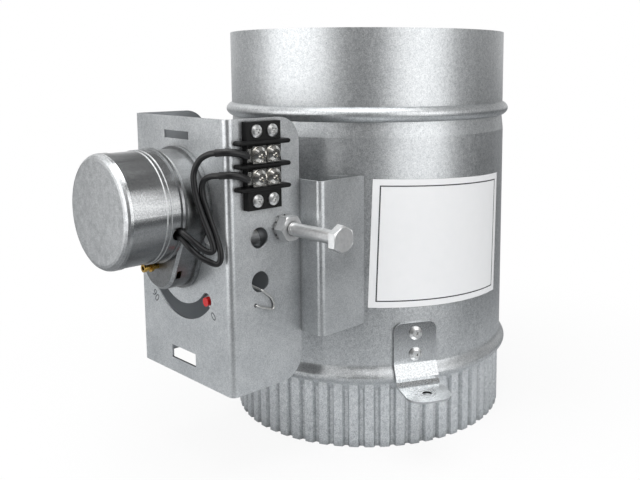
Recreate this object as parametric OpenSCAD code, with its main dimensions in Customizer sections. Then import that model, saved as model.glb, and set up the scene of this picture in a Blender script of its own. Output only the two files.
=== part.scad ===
// Motorised round duct damper: a sheet-metal duct with a swinging blade, a bracket on its side,
// a geared motor on the bracket, a return spring, a stop bolt and a terminal block.
// Z runs up the duct's axis from the crimped rim, and the motor's plate faces -Y.

/* [Duct] */
// Inside diameter of the duct
duct_bore = 152.4; // [146:0.2:160]
// Thickness of the duct's sheet
duct_wall = 0.6; // [0.5:0.1:0.9]
// Length from the crimped rim to the plain rim
duct_length = 209.6; // [200:0.5:240]
// Length of the crimped part
crimp_length = 33.3; // [30:0.1:36]
// Number of crimps round the end
crimp_count = 60; // [48:4:68]
// Depth of a crimp
crimp_depth = 1.8; // [1.2:0.1:2.2]
// How far the crimped end is drawn in under the body, on the radius
crimp_draw = 0.6; // [0.3:0.1:0.8]
// How far the beads stand out from the body
bead_out = 3.2; // [2:0.1:4]
// Half the height of a bead
bead_half = 3.7; // [3:0.1:4.5]
// Height of the long upper flank of the lower bead
bead_flank = 6.6; // [5:0.1:8]
// Distance from the plain rim down to the upper bead's crest
collar_length = 41.3; // [38:0.1:50]
// How far the plain collar is rolled in under the body, on the radius
collar_step = 0.4; // [0.2:0.1:0.6]
// How far the waist below the upper bead is rolled in, on the radius
waist_step = 0.8; // [0.5:0.1:1]
// Width of the lap seam up the back of the duct
seam_width = 9; // [6:0.5:12]

/* [Blade] */
// How far the blade's shaft lies below the middle of the plain body
shaft_drop = 2.45; // [0:0.05:5]
// Diameter of the blade's shaft
shaft_d = 9.52; // [8:0.02:10]
// Gap between a blade plate's rim and the duct
blade_gap = 2.2; // [1.5:0.1:3.5]
// Gap between the seal's rim and the duct
seal_gap = 0.5; // [0.4:0.1:1]
// Thickness of the seal between the plates
seal_t = 3; // [2:0.1:4]
// Thickness of a blade plate
blade_t = 0.7; // [0.5:0.1:1]
// Distance from the middle of the blade to each blade bolt
blade_bolt_y = 38; // [30:1:50]
// Diameter of a blade bolt
blade_bolt_d = 4; // [3:0.1:4.5]
// Number of rivets round the blade
blade_rivet_count = 8; // [6:2:12]

/* [Brackets] */
// Thickness of the brackets' sheet
bracket_t = 1; // [0.8:0.1:1.3]
// Outside radius of the brackets' bends
bend_r = 3; // [2:0.1:4]
// Width of the bracket that stands on the duct
standoff_w = 105.4; // [98:0.1:112]
// Height of that bracket
standoff_h = 73.6; // [66:0.1:80]
// Distance from the duct to that bracket's outer face
standoff_reach = 7.65; // [7:0.05:12]
// Length of the curved foot of each of its legs
foot_length = 13; // [11:0.5:16]
// Width of the motor's bracket
plate_w = 76.6; // [74:0.1:86]
// Height of the motor's bracket
plate_h = 125.4; // [120:0.1:140]
// Depth of the motor's bracket
plate_depth = 40.5; // [38:0.1:46]
// Radius of the corners of its flanges
flange_corner = 11.5; // [8:0.5:13]
// Width of the slots at its top and bottom
slot_w = 20.4; // [16:0.1:24]
// Height of the upper slot
upper_slot_h = 3.8; // [3:0.1:6]
// Height of the lower slot
lower_slot_h = 6.4; // [4:0.1:8]
// Radius from the shaft to the middle of the curved slot
dial_r = 27; // [25:0.1:28]
// Width of the curved slot
dial_slot_w = 7.5; // [5:0.1:8]
// Diameter of the two large holes in the right flange
spring_hole_d = 9.7; // [9:0.1:11]

/* [Motor] */
// Height of the motor's axis above the blade's shaft
motor_rise = 25.2; // [25:0.1:25.4]
// Diameter of the motor's can
can_d = 51; // [48:0.1:53]
// Distance from the bracket's face to the can's front
motor_reach = 40.8; // [38:0.1:46]
// Wall of the can
can_wall = 0.8; // [0.6:0.1:1]
// Radius of the gear case round the motor's axis
case_r = 25.2; // [24:0.1:26.2]
// Radius of the gear case round the output shaft
lobe_r = 14.2; // [14:0.1:16]
// Depth of the gear case
case_depth = 12.9; // [12.7:0.1:15]
// Wall of the gear case
case_wall = 1; // [0.8:0.1:1]
// Diameter of the output shaft
output_d = 6.4; // [5:0.1:7]
// Teeth of the output gear
output_teeth = 40; // [40:1:40]
// Teeth of the idler's wheel
wheel_teeth = 32; // [32:1:32]
// Teeth of each pinion
pinion_teeth = 10; // [10:1:10]

/* [Stop and spring] */
// Diameter of the stop bolt
bolt_d = 6.35; // [5.5:0.05:6.5]
// Length of the stop bolt under its head
bolt_length = 50.8; // [49:0.1:54]
// Gap between the flange's outside and the bolt's head
bolt_stand = 36.6; // [34:0.1:40]
// Width of the bolt's head and nut across their flats
hex_af = 11.1; // [10:0.1:12.5]
// Diameter of the spring's wire
wire_d = 1; // [0.8:0.05:1.1]
// Mean radius of the spring's coil
coil_r = 10.2; // [10:0.1:11]
// Pitch of the coil
coil_pitch = 1.6; // [1.55:0.05:1.65]
// Turns of the coil
coil_turns = 7; // [5:1:7]

/* [Terminals and leads] */
// Length of the terminal block
block_h = 39.3; // [38:0.1:44]
// Width of the terminal block
block_w = 18.7; // [18:0.1:22]
// Thickness of the terminal block
block_t = 3.5; // [3:0.1:4.5]
// Width of the block's barriers
barrier_w = 28.4; // [26:0.1:29]
// How far the barriers stand out from the flange
barrier_out = 5.2; // [4.5:0.1:7]
// Distance between the two rows of terminals
row_pitch = 10.2; // [10:0.1:11]
// Diameter of a lead
lead_d = 2.7; // [2.2:0.1:2.8]

/* [Tab and label] */
// Width of the mounting tab
tab_w = 22.6; // [20:0.1:26]
// Thickness of the mounting tab
tab_t = 1; // [0.8:0.1:1.4]
// Height of the tab's top
tab_top = 64.8; // [60:0.1:68]
// Height of the tab's foot
tab_foot_z = 33.4; // [30:0.1:33.6]
// Distance from the duct's axis to the tip of the foot
tab_reach = 103.4; // [98:0.1:110]
// Diameter of the tab's hole
tab_hole_d = 4.4; // [4:0.1:5]
// Width of the label round the duct
label_w = 84; // [60:1:90]
// Height of the label
label_h = 64; // [50:1:65]

/* [Hidden] */
$fn = 64;

// Overrun of every cut past the face it leaves
over = 1;
// Clearance of a pin, bolt or rivet in its hole, on the radius
snug = 0.05;
// Clearance of a turning shaft in its bearing, on the radius
running = 0.06;
// Gap that keeps a loose or bent piece off its neighbour
clear = 0.3;

// Duct, derived
bore_r = duct_bore / 2;
body_r = bore_r + duct_wall;
collar_r = body_r - collar_step;
waist_r = body_r - waist_step;
crimp_r = body_r - crimp_draw;
lower_bead_z = crimp_length + bead_half;
upper_bead_z = duct_length - collar_length;
bead_top_z = lower_bead_z + bead_flank;
shaft_z = (bead_top_z + upper_bead_z) / 2 - shaft_drop;
waist_run = 3 * bead_half;
bead_steps = 12;
bead_fullness = 0.7;
crimp_step = 360 / crimp_count;
crimp_top_share = 0.225;
crimp_floor_share = 0.1;
crimp_inset = 0.1;
crimp_land_r = crimp_r - 2 * crimp_inset;
crimp_runout = 4;
seam_azimuth = 125;

// Bushings and shaft, derived
shaft_r = shaft_d / 2;
bush_wall = 1.7;
bush_r = shaft_r + bush_wall;
bush_flange = 2.4;
bush_flange_r = bush_r + bush_flange;
bush_flange_t = 1.8;
bush_in = 1.4;
bush_front_y = -(body_r + bush_flange_t);
shaft_tail = 7.4;
shaft_rear_y = body_r + shaft_tail;
clip_t = 0.9;
clip_depth = 0.8;
clip_out = 3.4;

// Blade, derived
blade_r = bore_r - blade_gap;
seal_r = bore_r - seal_gap;
blade_notch = 1;
notch_r = bush_r + blade_notch;
notch_y = bore_r - bush_in - blade_notch;
sleeve_r = shaft_r + snug;
seat_drop = seal_t / 2;
blade_rivet_ring = 6;
blade_rivet_r = blade_r - blade_rivet_ring;
blade_rivet_d = 3.2;
rivet_turn = 360 / blade_rivet_count / 2;
bolt_head_share = 0.95;
bolt_head_h_share = 0.65;

// Brackets, derived
web_y = -(body_r + standoff_reach);
plate_y = web_y - plate_depth;
inside_y = plate_y + bracket_t;
flange_x = plate_w / 2;
standoff_drop = 1.2;
standoff_z = shaft_z - standoff_h / 2 - standoff_drop;
plate_rise = 2.5;
plate_z = shaft_z + plate_rise - plate_h / 2;
plate_top = plate_z + plate_h;
web_hole_room = 3;
web_hole_r = shaft_r + web_hole_room;
lug_w = 11;
lug_margin = 4;
lug_screw_d = 3.6;
lug_x = flange_x - bracket_t - lug_w / 2;
lug_screw_edge = 12;
lug_screw_z = standoff_h / 2 - lug_screw_edge;
foot_rivet_d = 3.2;
foot_rivet_x = standoff_w / 2 - bracket_t - foot_length / 2;
foot_rivet_a = asin(foot_rivet_x / body_r);
foot_rivet_edge = 9;
foot_rivet_z = standoff_h / 2 - foot_rivet_edge;
tail_head_share = 0.75;
standoff_mid_z = standoff_z + standoff_h / 2;
slot_x = -1.2;
upper_slot_drop = 8.6;
lower_slot_rise = 10.3;
upper_slot_z = plate_top - upper_slot_drop;
lower_slot_z = plate_z + lower_slot_rise;
dial_half = 46.5;
output_hole_room = 1.8;
output_hole_r = output_d / 2 + output_hole_room;

// Right flange, derived from the bracket's face and the shaft
spring_hole_in = 16.6;
spring_hole_y = plate_y + spring_hole_in;
spring_hole_up = 11.1;
spring_hole_down = 9.2;
pin_hole_d = 1.8;
pin_hole_in = 13.7;
pin_hole_drop = 19.8;
pin_hole_y = plate_y + pin_hole_in;
pin_hole_z = shaft_z - pin_hole_drop;
bolt_in = 30.7;
bolt_y = plate_y + bolt_in;
bolt_up = 14.1;
bolt_z = shaft_z + bolt_up;
bolt_r = bolt_d / 2;
bolt_head_x = flange_x + bolt_stand;
bolt_tip_x = bolt_head_x - bolt_length;
bolt_head_h = 4.1;
chamfer_share = 0.53;
washer_t = 0.9;
washer_r = 6;
washer_teeth = 12;
nut_h = 5.6;

// Moving parts on the shaft, from the front: arm, coupler, spring, lever
arm_gap = 1.6;
arm_t = 1;
arm_y = inside_y + arm_gap;
arm_boss_wall = 1.6;
arm_boss_r = output_d / 2 + arm_boss_wall;
arm_w = 7;
arm_root_share = 1.4;
tip_room = 1.65;
tip_r = dial_slot_w / 2 - tip_room;
tip_proud = 0.3;
hub_r = 7.94;
hub_y = arm_y + arm_t;
hub_rear_gap = 5.5;
hub_rear_y = web_y - hub_rear_gap;
output_in = 22.5;
output_end_y = inside_y + output_in;
shaft_front_gap = 0.5;
shaft_front_y = output_end_y + shaft_front_gap;
set_screw_d = 4;
set_screw_back = 2.8;
set_screw_y = [output_end_y - set_screw_back, shaft_front_y + set_screw_back];
lever_t = 3;
lever_y = bolt_y - lever_t / 2;
lever_face_x = bolt_tip_x - clear;
lever_margin = 2.8;
lever_high = bolt_up + bolt_r + lever_margin;
lever_low = bolt_up - bolt_r - lever_margin;
lever_back = 10;

// Spring: the coil lies round the coupler, its tail leaves through the lower hole
wire_r = wire_d / 2;
coil_back = 0.4;
coil_rear_y = spring_hole_y + coil_back;
coil_bottom_z = shaft_z - coil_r;
tail_x = flange_x + wire_r + clear;
spring_hole_low = shaft_z - spring_hole_down - spring_hole_d / 2;
wire_sides = 6;
turn_rings = 8;

// Motor, derived: d runs out from the bracket's face
motor_z = shaft_z + motor_rise;
can_r = can_d / 2;
base_t = 1.2;
rim_t = 1.2;
rim_out = 1.2;
can_groove = 0.75;
can_groove_in = 1.8;
can_groove_r = can_r - can_groove_in;
can_lip_t = 1.2;
can_lip_out = 0.9;
can_lip_r = can_r + can_lip_out;
can_round = 3;
cap_skirt = 4.96;
cap_step = 0.3;
bead_h = 0.45;
bead_hw = 0.6;
front_bead_share = 0.527;
rear_bead_share = 0.477;
can_in_r = can_groove_r - can_wall;
can_bore_r = can_r - can_wall;
bearing_r = 3;
bearing_h = 3;
rotor_shaft_r = 1.2;
rotor_r = 12.6;
rotor_gap = 2;
bobbin_in_r = 13.4;
bobbin_wall = 1;
bobbin_h = 16;
bobbin_room = 1.2;
bobbin_d = case_depth + can_groove + can_lip_t + bobbin_room;
bobbin_slack = 0.3;
bobbin_flange_r = can_bore_r - bobbin_slack;
coil_out = 3;
lead_hole_angle = -22;
lead_hole_r = 3.3;
lead_hole_back = 1.65;
lead_hole_d = case_depth + can_groove + lead_hole_back;

// Gear train, derived: output gear, idler with pinion and wheel, rotor pinion
out_module = 0.6;
in_module = 0.5;
pressure_angle = 20;
tip_share = 1;
wheel_tip_share = 0.6;
wheel_root_share = 1.3;
pinion_root_share = 1.05;
backlash = 0.1;
flank_points = 3;
out_centre = out_module * (output_teeth + pinion_teeth) / 2;
in_centre = in_module * (wheel_teeth + pinion_teeth) / 2;
idler_up = (out_centre ^ 2 - in_centre ^ 2 + motor_rise ^ 2) / (2 * motor_rise);
idler_x = sqrt(out_centre ^ 2 - idler_up ^ 2);
idler_z = shaft_z + idler_up;
mesh_out_a = atan2(idler_up, idler_x);
mesh_in_a = atan2(motor_rise - idler_up, -idler_x);
gear_floor = 2;
pinion_over = 0.3;
wheel_t = 1.4;
wheel_d = base_t + gear_floor;
out_gear_t = 2.6;
out_gear_d = case_depth - case_wall - out_gear_t - 2 * pinion_over;
rotor_pinion_t = wheel_t + 2 * pinion_over;
arbor_r = 0.9;
ear_angle = -28.5;
ear_reach = 2.9;
ear_r = 4;
ear_ring = case_r + rim_out + ear_reach;
ear_screw_d = 3.2;
case_round = 1.2;
pear_inset = 0.03;
post_r = 1.45;
post_hole_r = 1;
post_tip_r = 1.9;
post_collar_r = 2.3;
post_z = motor_z - can_lip_r - post_r - clear;
post_out = 7.4;
window_drop = 5.6;
window_z = shaft_z - window_drop;
window_h = 3.8;
window_t = 2.5;
window_d = case_depth - case_round - window_t - 2 * clear;

// Terminal block, derived
block_in = 17.65;
block_y = plate_y + block_in;
block_drop = 20.85;
block_z = plate_top - block_drop;
barrier_t = 2.1;
screw_pitch = 8.4;
row_up = 0.15;
slot_share = 0.4;
ear_screw_pitch = 8.8;
ear_row = 15.45;
link_t = 0.6;
link_w = 6.6;
link_l = 16.6;
lug_t = 0.6;
lug_share = 0.8;
clamp_w = 7.2;
clamp_t = 0.6;
clamp_wing_t = 0.45;
clamp_wing_h = 1.3;
term_head_r = 3.4;
term_head_h = 1.9;
term_screw_d = 3;
block_head_r = 2.9;
block_head_h = 1.5;
block_screw_d = 2.6;
block_x = flange_x + block_t;
left_screw_y = block_y - screw_pitch / 2;

// Leads: routes chosen by hand, from the notch in the can to the left terminals. Each starts as
// [out along the notch, in from the notch's middle, up across it], goes on as [X, in from the
// bracket's face, up from the shaft] and ends as [out from the block, from its left screws, up]
lead_r = lead_d / 2;
sleeve_wall = 0.3;
sleeve_r_out = lead_r + sleeve_wall;
lead_sides = 8;
lead_smooth = 4;
lead_pair = lead_r + snug;
upper_start = [[23.4, 0, lead_pair], [25.6, 0, lead_pair], [27.8, 0.4, lead_pair]];
lower_start = [[23.4, 0, -lead_pair], [25.6, 0, -lead_pair], [27.6, 0.4, -lead_pair]];
upper_middle = [[30.2, -12.2, 12.4], [31.6, -8.6, 8.9], [33.2, -6.2, 7.6], [34.2, -5.2, 9.2],
  [32.6, -5.9, 15], [29.6, -7.4, 23.3], [28, -9, 31.4], [27.1, -9.6, 38.6], [27.3, -9.2, 43.4]];
lower_middle = [[28.6, -13, 9.4], [30, -9.6, 5.6], [32, -6.4, 3.2], [34.2, -4.1, 2],
  [35.6, -2.9, 3.6], [35.6, -2.8, 8], [33.4, -3, 13.6], [30.8, -3.6, 19.4], [29.3, -4.7, 25.4],
  [28.4, -6.2, 31.6], [28.4, -6.4, 36], [30.4, -6.4, 39.2]];
upper_end = [[-8.5, -21.5, 3.6], [-4.3, -20.3, 6.1], [-0.5, -18.9, 7], [2.7, -16, 7.2],
  [4.6, -12.2, 6.9], [5.2, -9, 6], [5.3, -7.2, 5.25], [5.3, -6.1, 5.25]];
lower_end = [[-4.3, -18.9, -3.4], [-0.3, -17.3, -2.9], [2.9, -14.6, -2.7], [4.7, -11.2, -3.1],
  [5.2, -8.8, -4.2], [5.3, -7.2, -4.95], [5.3, -6.1, -4.95]];
upper_sleeve_points = 5;
lower_sleeve_points = 5;

// Tab and label, derived
tab_azimuth = -27.7;
tab_in_r = body_r + snug;
tab_step_r = body_r + bead_out + clear;
tab_step_z = bead_top_z;
tab_bend = 1.6;
tab_corner = 4.5;
tab_tip_r = 8;
tab_rivet_drop = 5.4;
tab_rivet_pitch = 10.8;
tab_rivet_z = [tab_top - tab_rivet_drop, tab_top - tab_rivet_drop - tab_rivet_pitch];
tab_rivet_d = 3.6;
tab_head_r = 3.3;
tab_head_h = 1.5;
tab_recess_r = 1.3;
tab_recess_points = 6;
tab_recess_share = 0.55;
tab_hole_share = 0.57;
label_half_angle = label_w / bore_r * 90 / PI;
label_gap_angle = 1.84;
label_azimuth = -90 + asin(standoff_w / 2 / body_r) + label_gap_angle + label_half_angle;
label_drop = -0.5;
label_mid_z = shaft_z - label_drop;
label_tilt = -2;
label_t = 0.25;

// Cylinder along Y between two places
module y_rod(front, rear, r, x = 0, z = 0) {
  translate([x, rear, z]) rotate([90, 0, 0]) cylinder(h = rear - front, r = r);
}

// Cylinder along X between two places
module x_rod(left, right, r, y = 0, z = 0) {
  translate([left, y, z]) rotate([0, 90, 0]) cylinder(h = right - left, r = r);
}

// Flat shape drawn in X and Z, standing from one depth to another in Y
module standing(front, rear) {
  translate([0, rear, 0]) rotate([90, 0, 0]) linear_extrude(rear - front) children();
}

// Piece drawn outwards from the duct's wall at an azimuth and height
module on_duct(azimuth, z, r = body_r) {
  rotate([0, 0, azimuth]) translate([r, 0, z]) rotate([0, 90, 0]) children();
}

// How far the duct's bore falls away from a flat disc that touches it
function sagitta(r) = r ^ 2 / bore_r;

// Six-sided prism from its width across the flats
module hex(af, h) {
  cylinder(h = h, r = af / 2 / cos(30), $fn = 6);
}

// Head of a rivet or pan-head screw, with a shank below it
module headed(head_r, head_h, shank_r, shank_l) {
  cylinder(h = head_h / 2, r = head_r);
  translate([0, 0, head_h / 2]) cylinder(h = head_h / 2, r1 = head_r, r2 = head_r * 0.62);
  translate([0, 0, -shank_l]) cylinder(h = shank_l, r = shank_r);
}

// Unit vector, direction of a route at a point, and the frames carried along it
function unit(v) = v / norm(v);
function heading(p, i) =
  unit(p[min(i + 1, len(p) - 1)] - p[max(i - 1, 0)]);
function carried(p, n, i = 0, done = []) =
  i == len(p) ? done :
  let (t = heading(p, i), m = unit(n - (n * t) * t))
  carried(p, m, i + 1, concat(done, [m]));

// Smooth curve through a route's points
function smooth_at(p, i, f) =
  let (a = p[max(i - 1, 0)], b = p[i], c = p[i + 1], d = p[min(i + 2, len(p) - 1)])
  0.5 * (2 * b + (c - a) * f + (2 * a - 5 * b + 4 * c - d) * f ^ 2
    + (3 * b - a - 3 * c + d) * f ^ 3);
function smoothed(p, n) = concat(
  [for (i = [0:len(p) - 2]) for (j = [0:n - 1]) smooth_at(p, i, j / n)], [p[len(p) - 1]]);

// Closed tube swept along points, or along those from one index to another
module tube(p, r, sides, side_dir, from = 0, upto = -1) {
  m = carried(p, side_dir);
  stop = upto < 0 ? len(p) - 1 : upto;
  rings = stop - from + 1;
  points = [for (i = [from:stop]) let (t = heading(p, i), b = cross(t, m[i]))
    for (k = [0:sides - 1]) p[i] + r * (cos(360 * k / sides) * m[i] + sin(360 * k / sides) * b)];
  last = (rings - 1) * sides;
  faces = concat(
    [for (i = [0:rings - 2]) for (k = [0:sides - 1])
      [i * sides + k, (i + 1) * sides + k, i * sides + (k + 1) % sides]],
    [for (i = [0:rings - 2]) for (k = [0:sides - 1])
      [i * sides + (k + 1) % sides, (i + 1) * sides + k, (i + 1) * sides + (k + 1) % sides]],
    [for (k = [1:sides - 2]) [0, k, k + 1]],
    [for (k = [1:sides - 2]) [last, last + k + 1, last + k]]);
  polyhedron(points = points, faces = faces);
}

// Bead on the duct: a bump on the wall between two radii
function bead(z, down, up, r_low, r_high) = [for (i = [0:bead_steps])
  let (s = i / bead_steps, h = z - down + s * (down + up),
    arch = max(0, cos(90 * (h < z ? (z - h) / down : (h - z) / up))),
    swell = h > z && up > down ? arch * arch : pow(arch, bead_fullness))
  [r_low + (r_high - r_low) * s + bead_out * swell, h]];
duct_outside = concat(
  bead(lower_bead_z, bead_half, bead_flank, crimp_r, body_r),
  [[body_r, upper_bead_z - waist_run]],
  bead(upper_bead_z, bead_half, bead_half, waist_r, collar_r),
  [[collar_r, duct_length]]);
duct_profile = concat(duct_outside,
  [for (i = [len(duct_outside) - 1:-1:0]) duct_outside[i] - [duct_wall, 0]]);

// Outline of the crimped end at a wall face, from the land's radius
function crimp_outline(land) = [for (i = [0:crimp_count - 1]) for (s = [
    [-crimp_top_share, land], [-crimp_floor_share, land - crimp_depth],
    [crimp_floor_share, land - crimp_depth], [crimp_top_share, land], [0.5, land]])
  let (a = (i + s[0]) * crimp_step) s[1] * [cos(a), sin(a)]];

// The crimps run out into the sheet just under the lower bead
module crimped_end() {
  runout_r = crimp_land_r - crimp_depth - duct_wall / 2;
  linear_extrude(crimp_length + duct_wall / 2) difference() {
    polygon(crimp_outline(crimp_land_r));
    polygon(crimp_outline(crimp_land_r - duct_wall));
  }
  rotate_extrude() polygon([[runout_r, crimp_length - crimp_runout],
    [crimp_r - crimp_inset, crimp_length], [crimp_r - crimp_inset, crimp_length + duct_wall / 3],
    [crimp_r - duct_wall + crimp_inset, crimp_length + duct_wall / 3],
    [crimp_r - duct_wall, crimp_length - crimp_inset],
    [runout_r - duct_wall, crimp_length - crimp_runout]]);
}

module lap_seam() {
  seam_a = seam_width / body_r * 180 / PI;
  rotate([0, 0, seam_azimuth]) rotate_extrude(angle = seam_a)
    translate([body_r - duct_wall / 2, bead_top_z])
      square([duct_wall * 1.5, upper_bead_z - waist_run - bead_top_z]);
}

module duct_shell() {
  color("lightgray") difference() {
    union() {
      rotate_extrude() polygon(duct_profile);
      crimped_end();
      lap_seam();
    }
    y_rod(-body_r - over, body_r + over, bush_r + snug, 0, shaft_z);
    for (z = tab_rivet_z) on_duct(tab_azimuth, z, bore_r - over)
      cylinder(h = duct_wall + 2 * over, r = tab_rivet_d / 2 + snug);
    foot_rivet_places() translate([0, 0, -duct_wall - over])
      cylinder(h = duct_wall + 2 * over, r = foot_rivet_d / 2 + snug);
  }
}

// Places of the rivets that hold the standoff's feet to the duct
module foot_rivet_places() {
  for (side = [-1, 1]) for (up = [-1, 1])
    on_duct(-90 + side * foot_rivet_a, standoff_mid_z + up * foot_rivet_z) children();
}

// Sheet channel seen from above: front corners rounded, open at the back
module channel_2d(w, front, rear, t, r) {
  difference() {
    channel_fill(w, front, rear, r);
    channel_fill(w - 2 * t, front + t, rear + over, r - t);
  }
}

module channel_fill(w, front, rear, r) {
  translate([-w / 2, front + r]) square([w, rear - front - r]);
  translate([-w / 2 + r, front]) square([w - 2 * r, r]);
  for (side = [-1, 1]) translate([side * (w / 2 - r), front + r]) circle(r);
}

module standoff_bracket() {
  color("silver") difference() {
    translate([0, 0, standoff_z]) linear_extrude(standoff_h) difference() {
      union() {
        channel_2d(standoff_w, web_y, 0, bracket_t, bend_r);
        intersection() {
          circle(body_r + snug + bracket_t);
          for (side = [-1, 1])
            translate([side * (standoff_w / 2 - foot_length / 2) - foot_length / 2, web_y])
              square([foot_length, -web_y]);
        }
      }
      circle(body_r + snug);
    }
    y_rod(web_y - over, web_y + bracket_t + over, web_hole_r, 0, shaft_z);
    lug_places() y_rod(web_y - over, web_y + bracket_t + over, lug_screw_d / 2 + snug);
    foot_rivet_places() translate([0, 0, -over])
      cylinder(h = bracket_t + 2 * over, r = foot_rivet_d / 2 + snug);
  }
}

module foot_rivets() {
  tail_r = foot_rivet_d * tail_head_share;
  color("gray") foot_rivet_places() {
    translate([0, 0, bracket_t + snug])
      headed(foot_rivet_d, foot_rivet_d / 3, foot_rivet_d / 2,
        bracket_t + snug + duct_wall + 2 * sagitta(tail_r));
    translate([0, 0, -duct_wall - sagitta(tail_r) - foot_rivet_d / 4])
      cylinder(h = foot_rivet_d / 4, r = tail_r);
  }
}

// Places of the rivets between the two brackets
module lug_places() {
  for (side = [-1, 1]) for (up = [-1, 1])
    translate([side * lug_x, 0, standoff_mid_z + up * lug_screw_z]) children();
}

module dial_slot() {
  standing(plate_y - over, inside_y + over) translate([0, shaft_z]) {
    difference() {
      intersection() {
        circle(dial_r + dial_slot_w / 2);
        polygon([[0, 0], for (a = [-dial_half:dial_half / 3:dial_half])
          (dial_r + dial_slot_w) / cos(dial_half / 6) * [sin(a), -cos(a)]]);
      }
      circle(dial_r - dial_slot_w / 2);
    }
    for (side = [-1, 1]) rotate(side * dial_half) translate([0, -dial_r]) circle(dial_slot_w / 2);
  }
}

module front_slot(z, h) {
  standing(plate_y - over, inside_y + over)
    translate([slot_x - slot_w / 2, z - h / 2]) square([slot_w, h]);
}

// Rounds the rear corners of both flanges
module flange_corners() {
  for (up = [-1, 1]) {
    corner_z = shaft_z + plate_rise + up * (plate_h / 2 - flange_corner);
    translate([-flange_x - over, 0, 0]) difference() {
      translate([0, web_y - flange_corner, corner_z - (up < 0 ? flange_corner + over : 0)])
        cube([plate_w + 2 * over, flange_corner + over, flange_corner + over]);
      x_rod(-over, plate_w + 3 * over, flange_corner, web_y - flange_corner, corner_z);
    }
  }
}

module motor_bracket() {
  color("silver") difference() {
    union() {
      translate([0, 0, plate_z]) linear_extrude(plate_h)
        channel_2d(plate_w, plate_y, web_y, bracket_t, bend_r);
      for (side = [-1, 1]) translate([side * lug_x - lug_w / 2, web_y - bracket_t,
        standoff_z + lug_margin]) cube([lug_w, bracket_t, standoff_h - 2 * lug_margin]);
    }
    front_slot(upper_slot_z, upper_slot_h);
    front_slot(lower_slot_z, lower_slot_h);
    dial_slot();
    flange_corners();
    y_rod(plate_y - over, inside_y + over, output_hole_r, 0, shaft_z);
    ear_places() y_rod(plate_y - over, inside_y + over, ear_screw_d / 2 + snug);
    lug_places() y_rod(web_y - bracket_t - over, web_y + over, lug_screw_d / 2 + snug);
    for (up = [spring_hole_up, -spring_hole_down])
      flange_hole(spring_hole_d / 2, spring_hole_y, shaft_z + up);
    flange_hole(pin_hole_d / 2, pin_hole_y, pin_hole_z);
    flange_hole(bolt_r + running, bolt_y, bolt_z);
    block_screw_places() translate([0, 0, -block_t - bracket_t - over])
      cylinder(h = bracket_t + 2 * over, r = block_screw_d / 2 + snug);
  }
}

module flange_hole(r, y, z) {
  x_rod(flange_x - bracket_t - over, flange_x + over, r, y, z);
}

module bracket_rivets() {
  color("gray") lug_places() translate([0, web_y - bracket_t, 0]) rotate([90, 0, 0]) {
    headed(lug_screw_d, lug_screw_d / 3, lug_screw_d / 2, 2 * bracket_t);
    translate([0, 0, -2 * bracket_t - lug_screw_d / 4])
      cylinder(h = lug_screw_d / 4, r = lug_screw_d * tail_head_share);
  }
}

// Tab seen edge on: it lies on the duct, steps out over the bead and turns out into a foot
module tab_profile() {
  polygon([[tab_in_r, tab_top], [tab_in_r, tab_step_z], [tab_step_r, lower_bead_z],
    [tab_step_r, tab_foot_z], [tab_reach, tab_foot_z], [tab_reach, tab_foot_z + tab_t],
    [tab_step_r + tab_t + tab_bend, tab_foot_z + tab_t],
    [tab_step_r + tab_t, tab_foot_z + tab_t + tab_bend],
    [tab_step_r + tab_t, lower_bead_z + tab_t / 2], [tab_in_r + tab_t, tab_step_z + tab_t / 2],
    [tab_in_r + tab_t, tab_top]]);
}

// The tab is a flat strip, so it touches the round duct along its middle
module mounting_tab() {
  foot_start_r = tab_step_r + tab_t;
  hole_r = foot_start_r + (tab_reach - foot_start_r) * tab_hole_share;
  color("lightgray") rotate([0, 0, tab_azimuth]) difference() {
    intersection() {
      rotate([90, 0, 0]) translate([0, 0, -tab_w / 2]) linear_extrude(tab_w) tab_profile();
      linear_extrude(tab_top) {
        translate([0, -tab_w / 2]) square([tab_reach - tab_tip_r, tab_w]);
        translate([0, -tab_w / 2 + tab_tip_r]) square([tab_reach, tab_w - 2 * tab_tip_r]);
        for (side = [-1, 1])
          translate([tab_reach - tab_tip_r, side * (tab_w / 2 - tab_tip_r)]) circle(tab_tip_r);
      }
      rotate([90, 0, 90]) linear_extrude(tab_reach) {
        translate([-tab_w / 2, 0]) square([tab_w, tab_top - tab_corner]);
        translate([-tab_w / 2 + tab_corner, 0]) square([tab_w - 2 * tab_corner, tab_top]);
        for (side = [-1, 1])
          translate([side * (tab_w / 2 - tab_corner), tab_top - tab_corner]) circle(tab_corner);
      }
    }
    translate([hole_r, 0, tab_foot_z - over]) cylinder(h = tab_t + 2 * over, r = tab_hole_d / 2);
    for (z = tab_rivet_z) translate([tab_in_r - over, 0, z]) rotate([0, 90, 0])
      cylinder(h = tab_t + 2 * over, r = tab_rivet_d / 2 + snug);
  }
}

module tab_rivets() {
  tail_r = tab_rivet_d * tail_head_share;
  star = [for (i = [0:2 * tab_recess_points - 1])
    let (a = 180 * i / tab_recess_points, r = tab_recess_r * (i % 2 == 0 ? 1 : tab_recess_share))
    r * [cos(a), sin(a)]];
  color("silver") for (z = tab_rivet_z) on_duct(tab_azimuth, z) difference() {
    union() {
      translate([0, 0, tab_t + snug])
        headed(tab_head_r, tab_head_h, tab_rivet_d / 2,
          tab_t + snug + duct_wall + 2 * sagitta(tail_r));
      translate([0, 0, -duct_wall - sagitta(tail_r) - tab_head_h / 2])
        cylinder(h = tab_head_h / 2, r = tail_r);
    }
    translate([0, 0, tab_t + tab_head_h / 3]) linear_extrude(tab_head_h + over) polygon(star);
  }
}

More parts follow.
